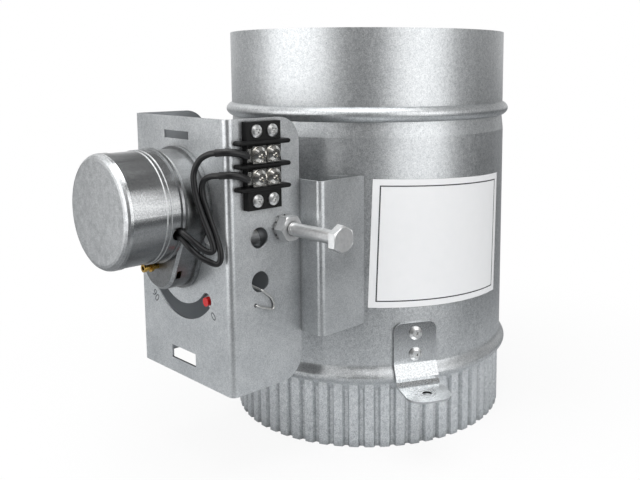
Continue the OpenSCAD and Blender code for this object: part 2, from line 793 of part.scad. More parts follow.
module rating_label() {
  color("white") intersection() {
    translate([0, 0, label_mid_z - label_h]) difference() {
      cylinder(h = 2 * label_h, r = body_r + snug + label_t);
      translate([0, 0, -over]) cylinder(h = 2 * label_h + 2 * over, r = body_r + snug);
    }
    rotate([0, 0, label_azimuth]) translate([0, 0, label_mid_z]) rotate([label_tilt, 0, 0])
      translate([bore_r / 2, -bore_r * sin(label_half_angle), -label_h / 2])
        cube([bore_r, 2 * bore_r * sin(label_half_angle), label_h]);
  }
}

// Bushing in the duct's wall: its flange is hollowed to lie on the curved sheet
module bushing() {
  difference() {
    union() {
      difference() {
        y_rod(bush_front_y, -bore_r, bush_flange_r, 0, shaft_z);
        translate([0, 0, shaft_z - bush_flange_r - over])
          cylinder(h = 2 * bush_flange_r + 2 * over, r = body_r);
      }
      y_rod(bush_front_y, -bore_r + bush_in, bush_r, 0, shaft_z);
    }
    y_rod(bush_front_y - over, -bore_r + bush_in + over, shaft_r + running, 0, shaft_z);
  }
}

module front_bushing() {
  color("ivory") bushing();
}

module rear_bushing() {
  color("ivory") rotate([0, 0, 180]) bushing();
}

module damper_shaft() {
  color("gainsboro") difference() {
    y_rod(shaft_front_y, shaft_rear_y, shaft_r, 0, shaft_z);
    difference() {
      y_rod(clip_y(), clip_y() + clip_t, shaft_r + over, 0, shaft_z);
      y_rod(clip_y(), clip_y() + clip_t, shaft_r - clip_depth, 0, shaft_z);
    }
    for (side = [-1, 1]) translate([0, side * blade_bolt_y, shaft_z - shaft_r - over])
      cylinder(h = 2 * (shaft_r + over), r = blade_bolt_d / 2 + snug);
  }
}

function clip_y() = -bush_front_y + clear;

module shaft_clip() {
  color("dimgray") difference() {
    y_rod(clip_y(), clip_y() + clip_t, shaft_r + clip_out, 0, shaft_z);
    y_rod(clip_y() - over, clip_y() + clip_t + over, shaft_r - clip_depth, 0, shaft_z);
    translate([-shaft_r + clip_depth, clip_y() - over, shaft_z - shaft_r - clip_out - over])
      cube([2 * (shaft_r - clip_depth), clip_t + 2 * over, shaft_r + clip_out + over]);
  }
}

// Blade plate seen along the shaft, turned over for the lower one, then cut to a disc
module blade_plate(up) {
  difference() {
    intersection() {
      standing(-blade_r, blade_r) translate([0, shaft_z]) difference() {
        union() {
          translate([-blade_r, up > 0 ? seat_drop : -seat_drop - blade_t])
            square([2 * blade_r, blade_t]);
          circle(sleeve_r + blade_t);
        }
        circle(sleeve_r);
        translate([-blade_r, up > 0 ? -blade_r : -seat_drop]) square([2 * blade_r, blade_r + seat_drop]);
      }
      translate([0, 0, shaft_z - blade_r]) cylinder(h = 2 * blade_r, r = blade_r);
    }
    blade_notches();
    blade_bolt_places() translate([0, 0, -blade_r]) cylinder(h = 2 * blade_r, r = blade_bolt_d / 2 + snug);
    blade_rivet_places() translate([0, 0, -blade_r]) cylinder(h = 2 * blade_r, r = blade_rivet_d / 2 + snug);
  }
}

module blade_notches() {
  for (side = [-1, 1]) y_rod(side * (notch_y + blade_r) - blade_r, side * (notch_y + blade_r) + blade_r,
    notch_r, 0, shaft_z);
}

module blade_bolt_places() {
  for (side = [-1, 1]) translate([0, side * blade_bolt_y, shaft_z]) children();
}

module blade_rivet_places() {
  for (i = [0:blade_rivet_count - 1]) rotate([0, 0, rivet_turn + i * 2 * rivet_turn])
    translate([blade_rivet_r, 0, shaft_z]) children();
}

module blade_top() {
  color("lightgray") blade_plate(1);
}

module blade_bottom() {
  color("lightgray") blade_plate(-1);
}

module blade_seal() {
  color("dimgray") difference() {
    translate([0, 0, shaft_z - seat_drop]) cylinder(h = seal_t, r = seal_r);
    y_rod(-bore_r, bore_r, sleeve_r + blade_t, 0, shaft_z);
    blade_notches();
    blade_rivet_places() translate([0, 0, -seal_t]) cylinder(h = 2 * seal_t, r = blade_rivet_d / 2 + snug);
  }
}

module blade_bolts() {
  shank_l = 2 * (sleeve_r + blade_t) + blade_bolt_d * 1.2;
  color("silver") blade_bolt_places() translate([0, 0, sleeve_r + blade_t]) {
    hex(blade_bolt_d * 1.75, blade_bolt_d * bolt_head_h_share);
    translate([0, 0, -shank_l]) cylinder(h = shank_l, r = blade_bolt_d / 2);
  }
}

module blade_nuts() {
  color("silver") blade_bolt_places()
    translate([0, 0, -sleeve_r - blade_t - blade_bolt_d * 0.8]) difference() {
      hex(blade_bolt_d * 1.75, blade_bolt_d * 0.8);
      translate([0, 0, -over]) cylinder(h = blade_bolt_d + 2 * over, r = blade_bolt_d / 2 + snug);
    }
}

module blade_rivets() {
  color("gray") blade_rivet_places() translate([0, 0, seat_drop + blade_t]) {
    headed(blade_rivet_d, blade_rivet_d / 3, blade_rivet_d / 2, seal_t + 2 * blade_t);
    translate([0, 0, -seal_t - 2 * blade_t - blade_rivet_d / 3])
      cylinder(h = blade_rivet_d / 3, r = blade_rivet_d * 0.8);
  }
}

module shaft_coupler() {
  color("silver") difference() {
    union() {
      y_rod(hub_y, hub_rear_y, hub_r, 0, shaft_z);
      y_rod(arm_y - arm_t / 2, hub_y, arm_boss_r, 0, shaft_z);
    }
    y_rod(arm_y - arm_t, output_end_y, output_d / 2 + snug, 0, shaft_z);
    y_rod(output_end_y - over, hub_rear_y + over, shaft_r + snug, 0, shaft_z);
    for (y = set_screw_y) translate([0, y, shaft_z])
      cylinder(h = hub_r + over, r = set_screw_d / 2 + snug);
  }
}

module set_screws() {
  seats = [output_d / 2 + 2 * snug, shaft_r + 2 * snug];
  color("dimgray") for (i = [0, 1]) translate([0, set_screw_y[i], shaft_z + seats[i]]) difference() {
    cylinder(h = hub_r - seats[i] - clear, r = set_screw_d / 2);
    translate([0, 0, (hub_r - seats[i]) / 2]) hex(set_screw_d / 2, hub_r);
  }
}

// Stop lever drawn as it stands when the blade is open, then turned back to closed
module stop_lever() {
  color("silver") translate([0, 0, shaft_z]) rotate([0, -90, 0]) translate([0, 0, -shaft_z])
    difference() {
      union() {
        y_rod(lever_y, lever_y + lever_t, hub_r + lever_t, 0, shaft_z);
        standing(lever_y, lever_y + lever_t)
          polygon([[-hub_r / 2, shaft_z + hub_r], [lever_face_x - lever_back, shaft_z + lever_high],
            [lever_face_x, shaft_z + lever_high], [lever_face_x, shaft_z + lever_low],
            [hub_r, shaft_z - hub_r / 2], [0, shaft_z]]);
      }
      y_rod(lever_y - over, lever_y + lever_t + over, hub_r + snug, 0, shaft_z);
    }
}

// The arm points at the right end of the curved slot when the blade is closed
module arm_turn() {
  translate([0, 0, shaft_z]) rotate([0, -45, 0]) translate([0, 0, -shaft_z]) children();
}

module indicator_arm() {
  color("silver") arm_turn() difference() {
    union() {
      y_rod(arm_y, arm_y + arm_t, arm_boss_r + arm_w / 2, 0, shaft_z);
      standing(arm_y, arm_y + arm_t)
        polygon([[-arm_w / 2 * arm_root_share, shaft_z], [arm_w / 2 * arm_root_share, shaft_z],
          [arm_w / 2, shaft_z - dial_r], [-arm_w / 2, shaft_z - dial_r]]);
      y_rod(arm_y, arm_y + arm_t, arm_w / 2, 0, shaft_z - dial_r);
    }
    y_rod(arm_y - over, arm_y + arm_t + over, arm_boss_r + snug, 0, shaft_z);
  }
}

module indicator_tip() {
  color("red") arm_turn() {
    y_rod(plate_y - tip_proud, arm_y, tip_r, 0, shaft_z - dial_r);
  }
}

// Centre line of the return spring: hub end, coil, straight tail, hook outside the flange
spring_coil = [for (i = [0:coil_turns * turn_rings])
  let (turn = i / turn_rings, a = 360 * turn)
  [-coil_r * sin(a), coil_rear_y - coil_pitch * turn, shaft_z - coil_r * cos(a)]];
coil_end_y = coil_rear_y - coil_pitch * (coil_turns + 0.15);
spring_inner = [[-coil_r * sin(30), coil_end_y, shaft_z - coil_r * cos(30)],
  [-(coil_r - wire_d) * sin(48), coil_end_y, shaft_z - (coil_r - wire_d) * cos(48)]];
tail_z = spring_hole_low + wire_r + clear;
spring_tail = [[pin_hole_x(), pin_hole_y, pin_hole_z], [flange_x, pin_hole_y, pin_hole_z],
  [tail_x, pin_hole_y + wire_d / 2, pin_hole_z - wire_d / 4],
  [tail_x, pin_hole_y + 2.6 * wire_d, pin_hole_z - 1.2 * wire_d],
  [tail_x, pin_hole_y + 5.8 * wire_d, pin_hole_z - 2.4 * wire_d],
  [tail_x, pin_hole_y + 9 * wire_d, pin_hole_z - 3.4 * wire_d],
  [tail_x, pin_hole_y + 9.9 * wire_d, pin_hole_z - 1.4 * wire_d],
  [tail_x, pin_hole_y + 8.4 * wire_d, pin_hole_z + 2.1 * wire_d],
  [tail_x, pin_hole_y + 6 * wire_d, pin_hole_z + 4.2 * wire_d],
  [tail_x - wire_d / 4, spring_hole_y + wire_d / 2, tail_z],
  [flange_x - bracket_t - wire_d, spring_hole_y + coil_back, tail_z + wire_d / 4],
  [flange_x / 2, coil_rear_y, (tail_z + coil_bottom_z) / 2 + wire_d / 3]];
spring_line = concat(spring_tail, spring_coil, spring_inner);

function pin_hole_x() = flange_x - bracket_t - wire_d;

// Least gap between places on the wire that are more than half a turn apart
spring_gap = min([for (i = [0:len(spring_line) - 1]) for (j = [i + turn_rings / 2 + 1:1:len(spring_line) - 1])
  norm(spring_line[i] - spring_line[j])]) - wire_d;
echo(least_gap_of_return_spring_to_itself = spring_gap);

module return_spring() {
  color("gray") tube(spring_line, wire_r, wire_sides, [0, 1, 1]);
}

module stop_bolt() {
  color("silver") translate([0, bolt_y, bolt_z]) {
    translate([bolt_head_x, 0, 0]) rotate([0, 90, 0]) intersection() {
      hex(hex_af, bolt_head_h);
      cylinder(h = bolt_head_h, r1 = hex_af, r2 = hex_af * chamfer_share);
    }
    x_rod(bolt_tip_x, bolt_head_x, bolt_r);
  }
}

module lock_washer() {
  color("silver") translate([flange_x, bolt_y, bolt_z]) rotate([0, 90, 0]) difference() {
    cylinder(h = washer_t, r = washer_r);
    translate([0, 0, -over]) cylinder(h = washer_t + 2 * over, r = bolt_r + running);
    for (i = [0:washer_teeth - 1]) rotate(i * 360 / washer_teeth)
      translate([washer_r - washer_t, -washer_t / 2, -over])
        cube([washer_t + over, washer_t, washer_t + 2 * over]);
  }
}

module stop_nut() {
  color("silver") translate([flange_x + washer_t, bolt_y, bolt_z]) rotate([0, 90, 0]) difference() {
    intersection() {
      rotate(30) hex(hex_af, nut_h);
      cylinder(h = nut_h, r1 = hex_af, r2 = hex_af * chamfer_share);
    }
    translate([0, 0, -over]) cylinder(h = nut_h + 2 * over, r = bolt_r + running);
  }
}

// Frame whose Z runs out of the bracket's face along the motor's axis
module motor_frame() {
  translate([0, plate_y, motor_z]) rotate([90, 0, 0]) children();
}

function can_bead(share) = let (d = motor_reach * share) [
  [can_r, d - bead_hw], [can_r + bead_h, d - bead_hw / 2], [can_r + bead_h, d + bead_hw / 2],
  [can_r, d + bead_hw]];
can_back_d = case_depth + can_groove;
can_front = [for (a = [0:22.5:90])
  [can_r + cap_step - can_round * (1 - cos(a)), motor_reach - can_round * (1 - sin(a))]];
can_profile = concat(
  [[can_in_r, case_depth], [can_groove_r, case_depth], [can_groove_r, can_back_d],
    [can_lip_r, can_back_d], [can_lip_r, can_back_d + can_lip_t], [can_r, can_back_d + can_lip_t]],
  can_bead(rear_bead_share), can_bead(front_bead_share),
  [[can_r, motor_reach - cap_skirt - can_round / 3],
    [can_r + cap_step, motor_reach - cap_skirt - can_round / 3]],
  can_front,
  [[0, motor_reach], [0, motor_reach - can_wall], [rotor_shaft_r + running, motor_reach - can_wall],
    [rotor_shaft_r + running, motor_reach - can_wall - bearing_h],
    [bearing_r, motor_reach - can_wall - bearing_h], [bearing_r, motor_reach - can_wall],
    [can_bore_r - can_round, motor_reach - can_wall], [can_bore_r, motor_reach - can_round - can_wall],
    [can_bore_r, can_back_d + can_lip_t + can_wall], [can_in_r, can_back_d + can_lip_t]]);

// Frame whose Z runs out of the can through the notch for its leads
module lead_hole_frame() {
  motor_frame() translate([0, 0, lead_hole_d]) rotate([0, 0, lead_hole_angle]) rotate([0, 90, 0])
    children();
}

// The notch is open towards the gear case
module motor_can() {
  color("silver") difference() {
    motor_frame() rotate_extrude() polygon(can_profile);
    lead_hole_frame() {
      cylinder(h = can_r + over, r = lead_hole_r);
      translate([0, -lead_hole_r, can_in_r - over]) cube([2 * lead_hole_r, 2 * lead_hole_r, can_r]);
    }
  }
}

module coil_bobbin() {
  color("ivory") motor_frame() translate([0, 0, bobbin_d]) difference() {
    union() {
      cylinder(h = bobbin_h, r = bobbin_in_r + bobbin_wall);
      for (d = [0, bobbin_h - bobbin_wall]) translate([0, 0, d])
        cylinder(h = bobbin_wall, r = bobbin_flange_r);
    }
    translate([0, 0, -over]) cylinder(h = bobbin_h + 2 * over, r = bobbin_in_r);
    rotate([0, 0, lead_hole_angle]) translate([bobbin_in_r + bobbin_wall + coil_out, -2 * lead_hole_r, -over])
      cube([can_r, 4 * lead_hole_r, bobbin_wall + over + snug]);
  }
}

module field_coil() {
  color("peru") motor_frame() translate([0, 0, bobbin_d + bobbin_wall + snug]) difference() {
    cylinder(h = bobbin_h - 2 * bobbin_wall - 2 * snug, r = bobbin_flange_r - coil_out);
    translate([0, 0, -over]) cylinder(h = bobbin_h + over, r = bobbin_in_r + bobbin_wall + snug);
  }
}

module motor_rotor() {
  color("dimgray") motor_frame() {
    translate([0, 0, bobbin_d]) cylinder(h = bobbin_h, r = rotor_r);
    translate([0, 0, wheel_d - pinion_over]) cylinder(
      h = motor_reach - can_wall - clear - wheel_d + pinion_over, r = rotor_shaft_r);
  }
}

// Involute gear outline with a tooth centred on the X axis
function involute(a) = tan(a) * 180 / PI - a;
function gear_outline(teeth, m, tip, root) =
  let (rp = m * teeth / 2, rb = rp * cos(pressure_angle), ra = rp + tip * m, rr = rp - root * m,
    low = max(rb, rr + m / 10), half = 90 / teeth - backlash / rp * 90 / PI + involute(pressure_angle))
  [for (i = [0:teeth - 1]) let (c = 360 * i / teeth) each concat(
    [rr * [cos(c - half), sin(c - half)]],
    [for (k = [0:flank_points - 1]) let (r = low + (ra - low) * k / (flank_points - 1),
      a = c - half + involute(acos(rb / r))) r * [cos(a), sin(a)]],
    [for (k = [flank_points - 1:-1:0]) let (r = low + (ra - low) * k / (flank_points - 1),
      a = c + half - involute(acos(rb / r))) r * [cos(a), sin(a)]],
    [rr * [cos(c + half), sin(c + half)]])];

// Flat gear standing off the bracket's face, turned to its mesh
module gear(x, z, d, t, a, teeth, m, tip, root, bore) {
  translate([x, plate_y - d, z]) rotate([90, 0, 0]) difference() {
    rotate([0, 0, a]) linear_extrude(t) polygon(gear_outline(teeth, m, tip, root));
    translate([0, 0, -over]) cylinder(h = t + 2 * over, r = bore);
  }
}

module rotor_pinion() {
  color("goldenrod") gear(0, motor_z, wheel_d - pinion_over, rotor_pinion_t,
    mesh_in_a + 180 + 180 / pinion_teeth, pinion_teeth, in_module, tip_share, pinion_root_share,
    rotor_shaft_r + snug);
}

module idler_gear() {
  color("goldenrod") {
    gear(idler_x, idler_z, wheel_d, wheel_t, mesh_in_a, wheel_teeth, in_module,
      wheel_tip_share, wheel_root_share, arbor_r + running);
    gear(idler_x, idler_z, wheel_d + wheel_t, out_gear_d + out_gear_t + pinion_over - wheel_d - wheel_t,
      mesh_out_a + 180 + 180 / pinion_teeth, pinion_teeth, out_module, tip_share,
      pinion_root_share, arbor_r + running);
  }
}

module output_gear() {
  color("goldenrod") gear(0, shaft_z, out_gear_d, out_gear_t, mesh_out_a, output_teeth,
    out_module, wheel_tip_share, wheel_root_share, output_d / 2 + snug);
}

module output_shaft() {
  color("gainsboro") y_rod(plate_y - case_depth + case_wall + clear, output_end_y, output_d / 2,
    0, shaft_z);
}

module idler_arbor() {
  color("gainsboro") y_rod(plate_y - case_depth + case_wall, plate_y - base_t, arbor_r,
    idler_x, idler_z);
}

// Pear shape of the gear case: a circle on each axis and, a film inside them, their tangents
module pear(grow) {
  lean = (case_r - lobe_r) / motor_rise;
  side = sqrt(1 - lean ^ 2);
  big = case_r + grow;
  small = lobe_r + grow;
  translate([0, motor_z]) circle(big);
  translate([0, shaft_z]) circle(small);
  upper = big - pear_inset;
  lower = small - pear_inset;
  polygon([[upper * side, motor_z - upper * lean], [lower * side, shaft_z - lower * lean],
    [-lower * side, shaft_z - lower * lean], [-upper * side, motor_z - upper * lean]]);
}

module ear_places() {
  for (a = [ear_angle, ear_angle + 180])
    translate([ear_ring * cos(a), 0, motor_z + ear_ring * sin(a)]) children();
}

// Bevel between the pear's outline at one depth and a smaller outline nearer the front
module pear_bevel(depth, b) {
  lean = (case_r - lobe_r) / motor_rise;
  side = sqrt(1 - lean ^ 2);
  function corner(r, z, s, d) = [s * r * side, plate_y - d, z - r * lean];
  for (e = [[case_r, motor_z], [lobe_r, shaft_z]]) translate([0, plate_y - depth + b, e[1]])
    rotate([90, 0, 0]) cylinder(h = b, r1 = e[0], r2 = e[0] - b);
  upper = case_r - pear_inset;
  lower = lobe_r - pear_inset;
  polyhedron(points = [for (g = [[0, depth - b], [b, depth]]) each [
      corner(upper - g[0], motor_z, 1, g[1]), corner(lower - g[0], shaft_z, 1, g[1]),
      corner(lower - g[0], shaft_z, -1, g[1]), corner(upper - g[0], motor_z, -1, g[1])]],
    faces = [[3, 2, 1, 0], [4, 5, 6, 7], [1, 5, 4, 0], [2, 6, 5, 1], [3, 7, 6, 2], [0, 4, 7, 3]]);
}

module gear_base() {
  color("silver") difference() {
    union() {
      standing(plate_y - base_t, plate_y) pear(rim_out);
      ear_places() y_rod(plate_y - base_t, plate_y, ear_r);
    }
    y_rod(plate_y - base_t - over, plate_y + over, output_d / 2 + running, 0, shaft_z);
    ear_places() y_rod(plate_y - base_t - over, plate_y + over, ear_screw_d / 2 + snug);
  }
}

module gear_case() {
  color("silver") difference() {
    union() {
      standing(plate_y - case_depth + case_round, plate_y - base_t) pear(0);
      pear_bevel(case_depth, case_round);
      standing(plate_y - base_t - rim_t, plate_y - base_t) pear(rim_out);
    }
    standing(plate_y - case_depth + case_wall, plate_y - base_t + over) pear(-case_wall);
    y_rod(plate_y - case_depth - over, plate_y, rotor_shaft_r + running, 0, motor_z);
    y_rod(plate_y - case_depth - over, plate_y - case_depth + case_wall + over, post_r + snug,
      0, post_z);
    translate([lobe_r / 2, plate_y - window_d - window_t, window_z - window_h / 2])
      cube([lobe_r, window_t, window_h]);
  }
}

module gear_post() {
  tip_y = plate_y - case_depth - post_out;
  color("goldenrod") difference() {
    union() {
      y_rod(tip_y, plate_y - case_depth + case_wall, post_r, 0, post_z);
      y_rod(tip_y, tip_y + post_r, post_tip_r, 0, post_z);
      y_rod(tip_y + 2.4 * post_r, tip_y + 3.2 * post_r, post_collar_r, 0, post_z);
    }
    y_rod(tip_y - over, tip_y + post_out, post_hole_r, 0, post_z);
  }
}

module motor_screws() {
  color("silver") ear_places() translate([0, plate_y - base_t, 0]) rotate([90, 0, 0])
    headed(ear_screw_d * 0.85, ear_screw_d * 0.6, ear_screw_d / 2, base_t + bracket_t + ear_screw_d);
}

module motor_nuts() {
  color("silver") ear_places() translate([0, inside_y, 0]) rotate([-90, 0, 0]) difference() {
    hex(ear_screw_d * 1.7, ear_screw_d * 0.75);
    translate([0, 0, -over]) cylinder(h = ear_screw_d + 2 * over, r = ear_screw_d / 2 + snug);
  }
}

// Places on the block, with Z running out of the right flange
module on_block(y, z, out = 0) {
  translate([flange_x + out, block_y + y, block_z + z]) rotate([0, 90, 0]) children();
}

module block_screw_places() {
  for (up = [-1, 1]) for (side = [-1, 1])
    on_block(side * ear_screw_pitch / 2, up * ear_row, block_t) children();
}

module terminal_places(out, sides = [-1, 1]) {
  for (up = [-1, 1]) for (side = sides)
    on_block(side * screw_pitch / 2, row_up + up * row_pitch / 2, out) children();
}

// Barrier between two rows, with a rounded front edge and rounded ends
module barrier(z) {
  r = barrier_t / 2;
  ball_x = flange_x + barrier_out - r;
  reach = barrier_w / 2 - r;
  translate([flange_x, block_y - reach, z - r]) cube([barrier_out - r, 2 * reach, barrier_t]);
  y_rod(block_y - reach, block_y + reach, r, ball_x, z);
  for (side = [-1, 1]) {
    x_rod(flange_x, ball_x, r, block_y + side * reach, z);
    translate([ball_x, block_y + side * reach, z]) sphere(r);
  }
}

module terminal_base() {
  color([0.08, 0.08, 0.08]) difference() {
    union() {
      translate([flange_x, block_y - block_w / 2, block_z - block_h / 2])
        cube([block_t, block_w, block_h]);
      for (row = [-1, 0, 1]) barrier(block_z + row_up + row * row_pitch);
    }
    terminal_places(0) translate([0, 0, over]) cylinder(h = block_t, r = term_screw_d / 2 + snug);
    block_screw_places() translate([0, 0, -block_t - over])
      cylinder(h = block_t + 2 * over, r = block_screw_d / 2 + snug);
  }
}

module terminal_links() {
  color("gainsboro") for (up = [-1, 1]) difference() {
    translate([block_x, block_y - link_l / 2, block_z + row_up + up * row_pitch / 2 - link_w / 2])
      cube([link_t, link_l, link_w]);
    terminal_places(block_t - over) cylinder(h = link_t + 2 * over, r = term_screw_d / 2 + snug);
  }
}

// The left terminals hold the leads' lugs, so their clamps and screws sit one lug higher
function stack(side) = block_t + link_t + (side < 0 ? lug_t : 0);

module clamp_plates() {
  color("gainsboro") for (side = [-1, 1]) terminal_places(stack(side), [side]) difference() {
    union() {
      translate([-term_head_r - snug, -clamp_w / 2, 0])
        cube([2 * (term_head_r + snug), clamp_w, clamp_t]);
      for (wing = [-term_head_r - snug - clamp_wing_t, term_head_r + snug])
        translate([wing, -clamp_w / 2, 0]) cube([clamp_wing_t, clamp_w, clamp_wing_h]);
    }
    translate([0, 0, -over]) cylinder(h = clamp_t + 2 * over, r = term_screw_d / 2 + snug);
  }
}

module terminal_screws() {
  color("silver") for (side = [-1, 1]) terminal_places(stack(side) + clamp_t, [side]) difference() {
    headed(term_head_r, term_head_h, term_screw_d / 2, stack(side) + clamp_t - over - clear);
    for (turn = [20, 110]) rotate(turn) translate([-term_head_r / 2, -term_head_h * slot_share / 2, term_head_h / 2])
      cube([term_head_r, term_head_h * slot_share, term_head_h]);
  }
}

module block_screws() {
  color("silver") block_screw_places() difference() {
    headed(block_head_r, block_head_h, block_screw_d / 2, block_t + bracket_t + block_screw_d);
    for (turn = [35, 125]) rotate(turn)
      translate([-block_head_r / 2, -block_head_h * slot_share / 2, block_head_h / 2])
        cube([block_head_r, block_head_h * slot_share, block_head_h]);
  }
}

// Whole path of a lead, from the places given along it
function notch_place(q) = [q[0] * cos(lead_hole_angle) - q[2] * sin(lead_hole_angle),
  plate_y - lead_hole_d + q[1], motor_z + q[0] * sin(lead_hole_angle) + q[2] * cos(lead_hole_angle)];
function lead_path(start, middle, end) = smoothed(concat([for (q = start) notch_place(q)],
  [for (q = middle) [q[0], plate_y + q[1], shaft_z + q[2]]],
  [for (q = end) [flange_x + q[0], left_screw_y + q[1], block_z + q[2]]]), lead_smooth);
upper_path = lead_path(upper_start, upper_middle, upper_end);
lower_path = lead_path(lower_start, lower_middle, lower_end);
upper_split = len(upper_path) - 1 - upper_sleeve_points * lead_smooth;
lower_split = len(lower_path) - 1 - lower_sleeve_points * lead_smooth;

module upper_lead() {
  color([0.1, 0.1, 0.1]) tube(upper_path, lead_r, lead_sides, [0, 1, 0], 0, upper_split);
}

module lower_lead() {
  color([0.1, 0.1, 0.1]) tube(lower_path, lead_r, lead_sides, [0, 1, 0], 0, lower_split);
}

module lead_sleeves() {
  color([0.15, 0.15, 0.15]) {
    tube(upper_path, sleeve_r_out, lead_sides, [0, 1, 0], upper_split);
    tube(lower_path, sleeve_r_out, lead_sides, [0, 1, 0], lower_split);
  }
}

// Fork lug under each left clamp, with its tail at the sleeve's end
module lead_lugs() {
  tail_y = upper_path[len(upper_path) - 1][1] + sleeve_r_out / 4;
  color("gainsboro") for (up = [-1, 1]) {
    z = block_z + row_up + up * row_pitch / 2;
    difference() {
      translate([block_x + link_t, tail_y, z - clamp_w * lug_share / 2])
        cube([lug_t, left_screw_y + term_screw_d - tail_y, clamp_w * lug_share]);
      translate([block_x, left_screw_y, z - term_screw_d / 2 - snug])
        cube([link_t + lug_t + over, 2 * term_screw_d, term_screw_d + 2 * snug]);
      x_rod(block_x, block_x + link_t + lug_t + over, term_screw_d / 2 + snug, left_screw_y, z);
    }
  }
}

duct_shell();
standoff_bracket();
foot_rivets();
motor_bracket();
bracket_rivets();
mounting_tab();
tab_rivets();
rating_label();
front_bushing();
rear_bushing();
damper_shaft();
shaft_clip();
blade_top();
blade_bottom();
blade_seal();
blade_bolts();
blade_nuts();
blade_rivets();
shaft_coupler();
set_screws();
stop_lever();
indicator_arm();
indicator_tip();
return_spring();
stop_bolt();
stop_nut();
lock_washer();
motor_can();
coil_bobbin();
field_coil();
motor_rotor();
rotor_pinion();
gear_case();
gear_base();
gear_post();
idler_arbor();
idler_gear();
output_gear();
output_shaft();
motor_screws();
motor_nuts();
terminal_base();
terminal_links();
clamp_plates();
terminal_screws();
block_screws();
upper_lead();
lower_lead();
lead_sleeves();
lead_lugs();
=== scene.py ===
# Motorised round duct damper, dressed for the camera. Lengths are in metres in the part's own frame:
# Z runs up the duct's axis from the crimped rim, and the motor's plate faces -Y.
import math
import bmesh
import bpy
from mathutils import Matrix, Vector


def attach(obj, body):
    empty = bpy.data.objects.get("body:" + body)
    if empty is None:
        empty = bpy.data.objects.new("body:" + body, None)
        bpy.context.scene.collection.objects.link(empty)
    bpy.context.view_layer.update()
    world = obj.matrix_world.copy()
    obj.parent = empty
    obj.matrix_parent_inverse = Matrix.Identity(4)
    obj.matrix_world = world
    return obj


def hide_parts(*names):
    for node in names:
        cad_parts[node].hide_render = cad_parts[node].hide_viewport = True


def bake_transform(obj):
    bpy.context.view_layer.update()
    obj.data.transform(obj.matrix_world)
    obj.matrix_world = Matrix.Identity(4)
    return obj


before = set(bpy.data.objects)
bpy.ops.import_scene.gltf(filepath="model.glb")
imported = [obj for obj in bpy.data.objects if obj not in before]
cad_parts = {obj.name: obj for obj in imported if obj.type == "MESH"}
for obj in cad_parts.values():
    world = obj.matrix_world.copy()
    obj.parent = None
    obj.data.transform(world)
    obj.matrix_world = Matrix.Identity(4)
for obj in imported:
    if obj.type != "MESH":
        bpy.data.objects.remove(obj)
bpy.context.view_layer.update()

# Camera.
# A product camera a little above the middle of the duct, square between the motor and the terminal
# block. The picture's centre lies beside the axis, so the lens is shifted a little.
MM = 0.001
camera_azimuth = math.radians(44.69)
camera_distance = 454.69 * MM
camera_height = 191.66 * MM
camera_turn = math.radians(-0.666)
camera_pitch = math.radians(7.672)
camera_roll = math.radians(-0.091)
upright = Vector((0, 0, 1))
eye = Vector((camera_distance * math.sin(camera_azimuth), -camera_distance * math.cos(camera_azimuth),
              camera_height))
toward_duct = Vector((-math.sin(camera_azimuth), math.cos(camera_azimuth), 0))
toward_duct = Matrix.Rotation(camera_turn, 3, "Z") @ toward_duct
across = toward_duct.cross(upright).normalized()
ahead = (toward_duct * math.cos(camera_pitch) - upright * math.sin(camera_pitch)).normalized()
above = across.cross(ahead)
rolled_across = across * math.cos(camera_roll) + above * math.sin(camera_roll)
rolled_above = rolled_across.cross(ahead)
camera_data = bpy.data.cameras.new("product_camera")
camera_data.sensor_width = 36
camera_data.lens = 44.52
camera_data.shift_x = -0.0888
camera_data.shift_y = -0.106
camera_data.clip_start = 0.01
camera_data.clip_end = 50
camera = bpy.data.objects.new("product_camera", camera_data)
camera.matrix_world = Matrix.Translation(eye) @ Matrix(
    (rolled_across, rolled_above, -ahead)).transposed().to_4x4()
bpy.context.scene.collection.objects.link(camera)
bpy.context.scene.camera = camera


# Studio.
# A white sweep with two tall softboxes, one at either side of the camera, a weak one high on the left
# and a wide one overhead. The metal sees the bright backdrop behind it, duller walls at the sides, a
# dim patch where the camera stands and a table that is darker on the right.
def add_node(tree, kind, values=(), links=(), **settings):
    node = tree.nodes.new(kind)
    for name, value in settings.items():
        setattr(node, name, value)
    for name, value in dict(values).items():
        node.inputs[name].default_value = value
    for name, socket in dict(links).items():
        tree.links.new(socket, node.inputs[name])
    return node


def from_hex(code):
    parts = [int(code[i:i + 2], 16) / 255 for i in (1, 3, 5)]
    return tuple(c / 12.92 if c <= 0.04045 else ((c + 0.055) / 1.055) ** 2.4 for c in parts) + (1,)


def grey(level):
    return (level, level, level, 1)


backdrop_level = 1.0
wall_levels = ((0.12, 0.75), (0.18, 0.50), (0.30, 0.42), (0.56, 0.40), (0.84, 0.14))
camera_patch_level = 0.06
ceiling_level = 0.24
fill_level = 0.45
camera_side = (0.7, -0.71, 0.0)
room = bpy.data.worlds.new("white_room")
bpy.context.scene.world = room
room.use_nodes = True
room_tree = room.node_tree
room_tree.nodes.clear()
room_ray = add_node(room_tree, "ShaderNodeLightPath")
room_where = add_node(room_tree, "ShaderNodeTexCoord")
toward_camera = add_node(room_tree, "ShaderNodeVectorMath", {1: camera_side},
                         {0: room_where.outputs["Generated"]}, operation="DOT_PRODUCT")
room_side = add_node(room_tree, "ShaderNodeMapRange", {"From Min": -1.0, "From Max": 1.0},
                     {"Value": toward_camera.outputs["Value"]})
room_walls = add_node(room_tree, "ShaderNodeValToRGB", links={"Fac": room_side.outputs["Result"]})
room_walls.color_ramp.elements[0].color = grey(backdrop_level)
room_walls.color_ramp.elements[1].color = grey(camera_patch_level)
for at, level in wall_levels:
    room_walls.color_ramp.elements.new(at).color = grey(level)
room_up = add_node(room_tree, "ShaderNodeSeparateXYZ", links={"Vector": room_where.outputs["Generated"]})
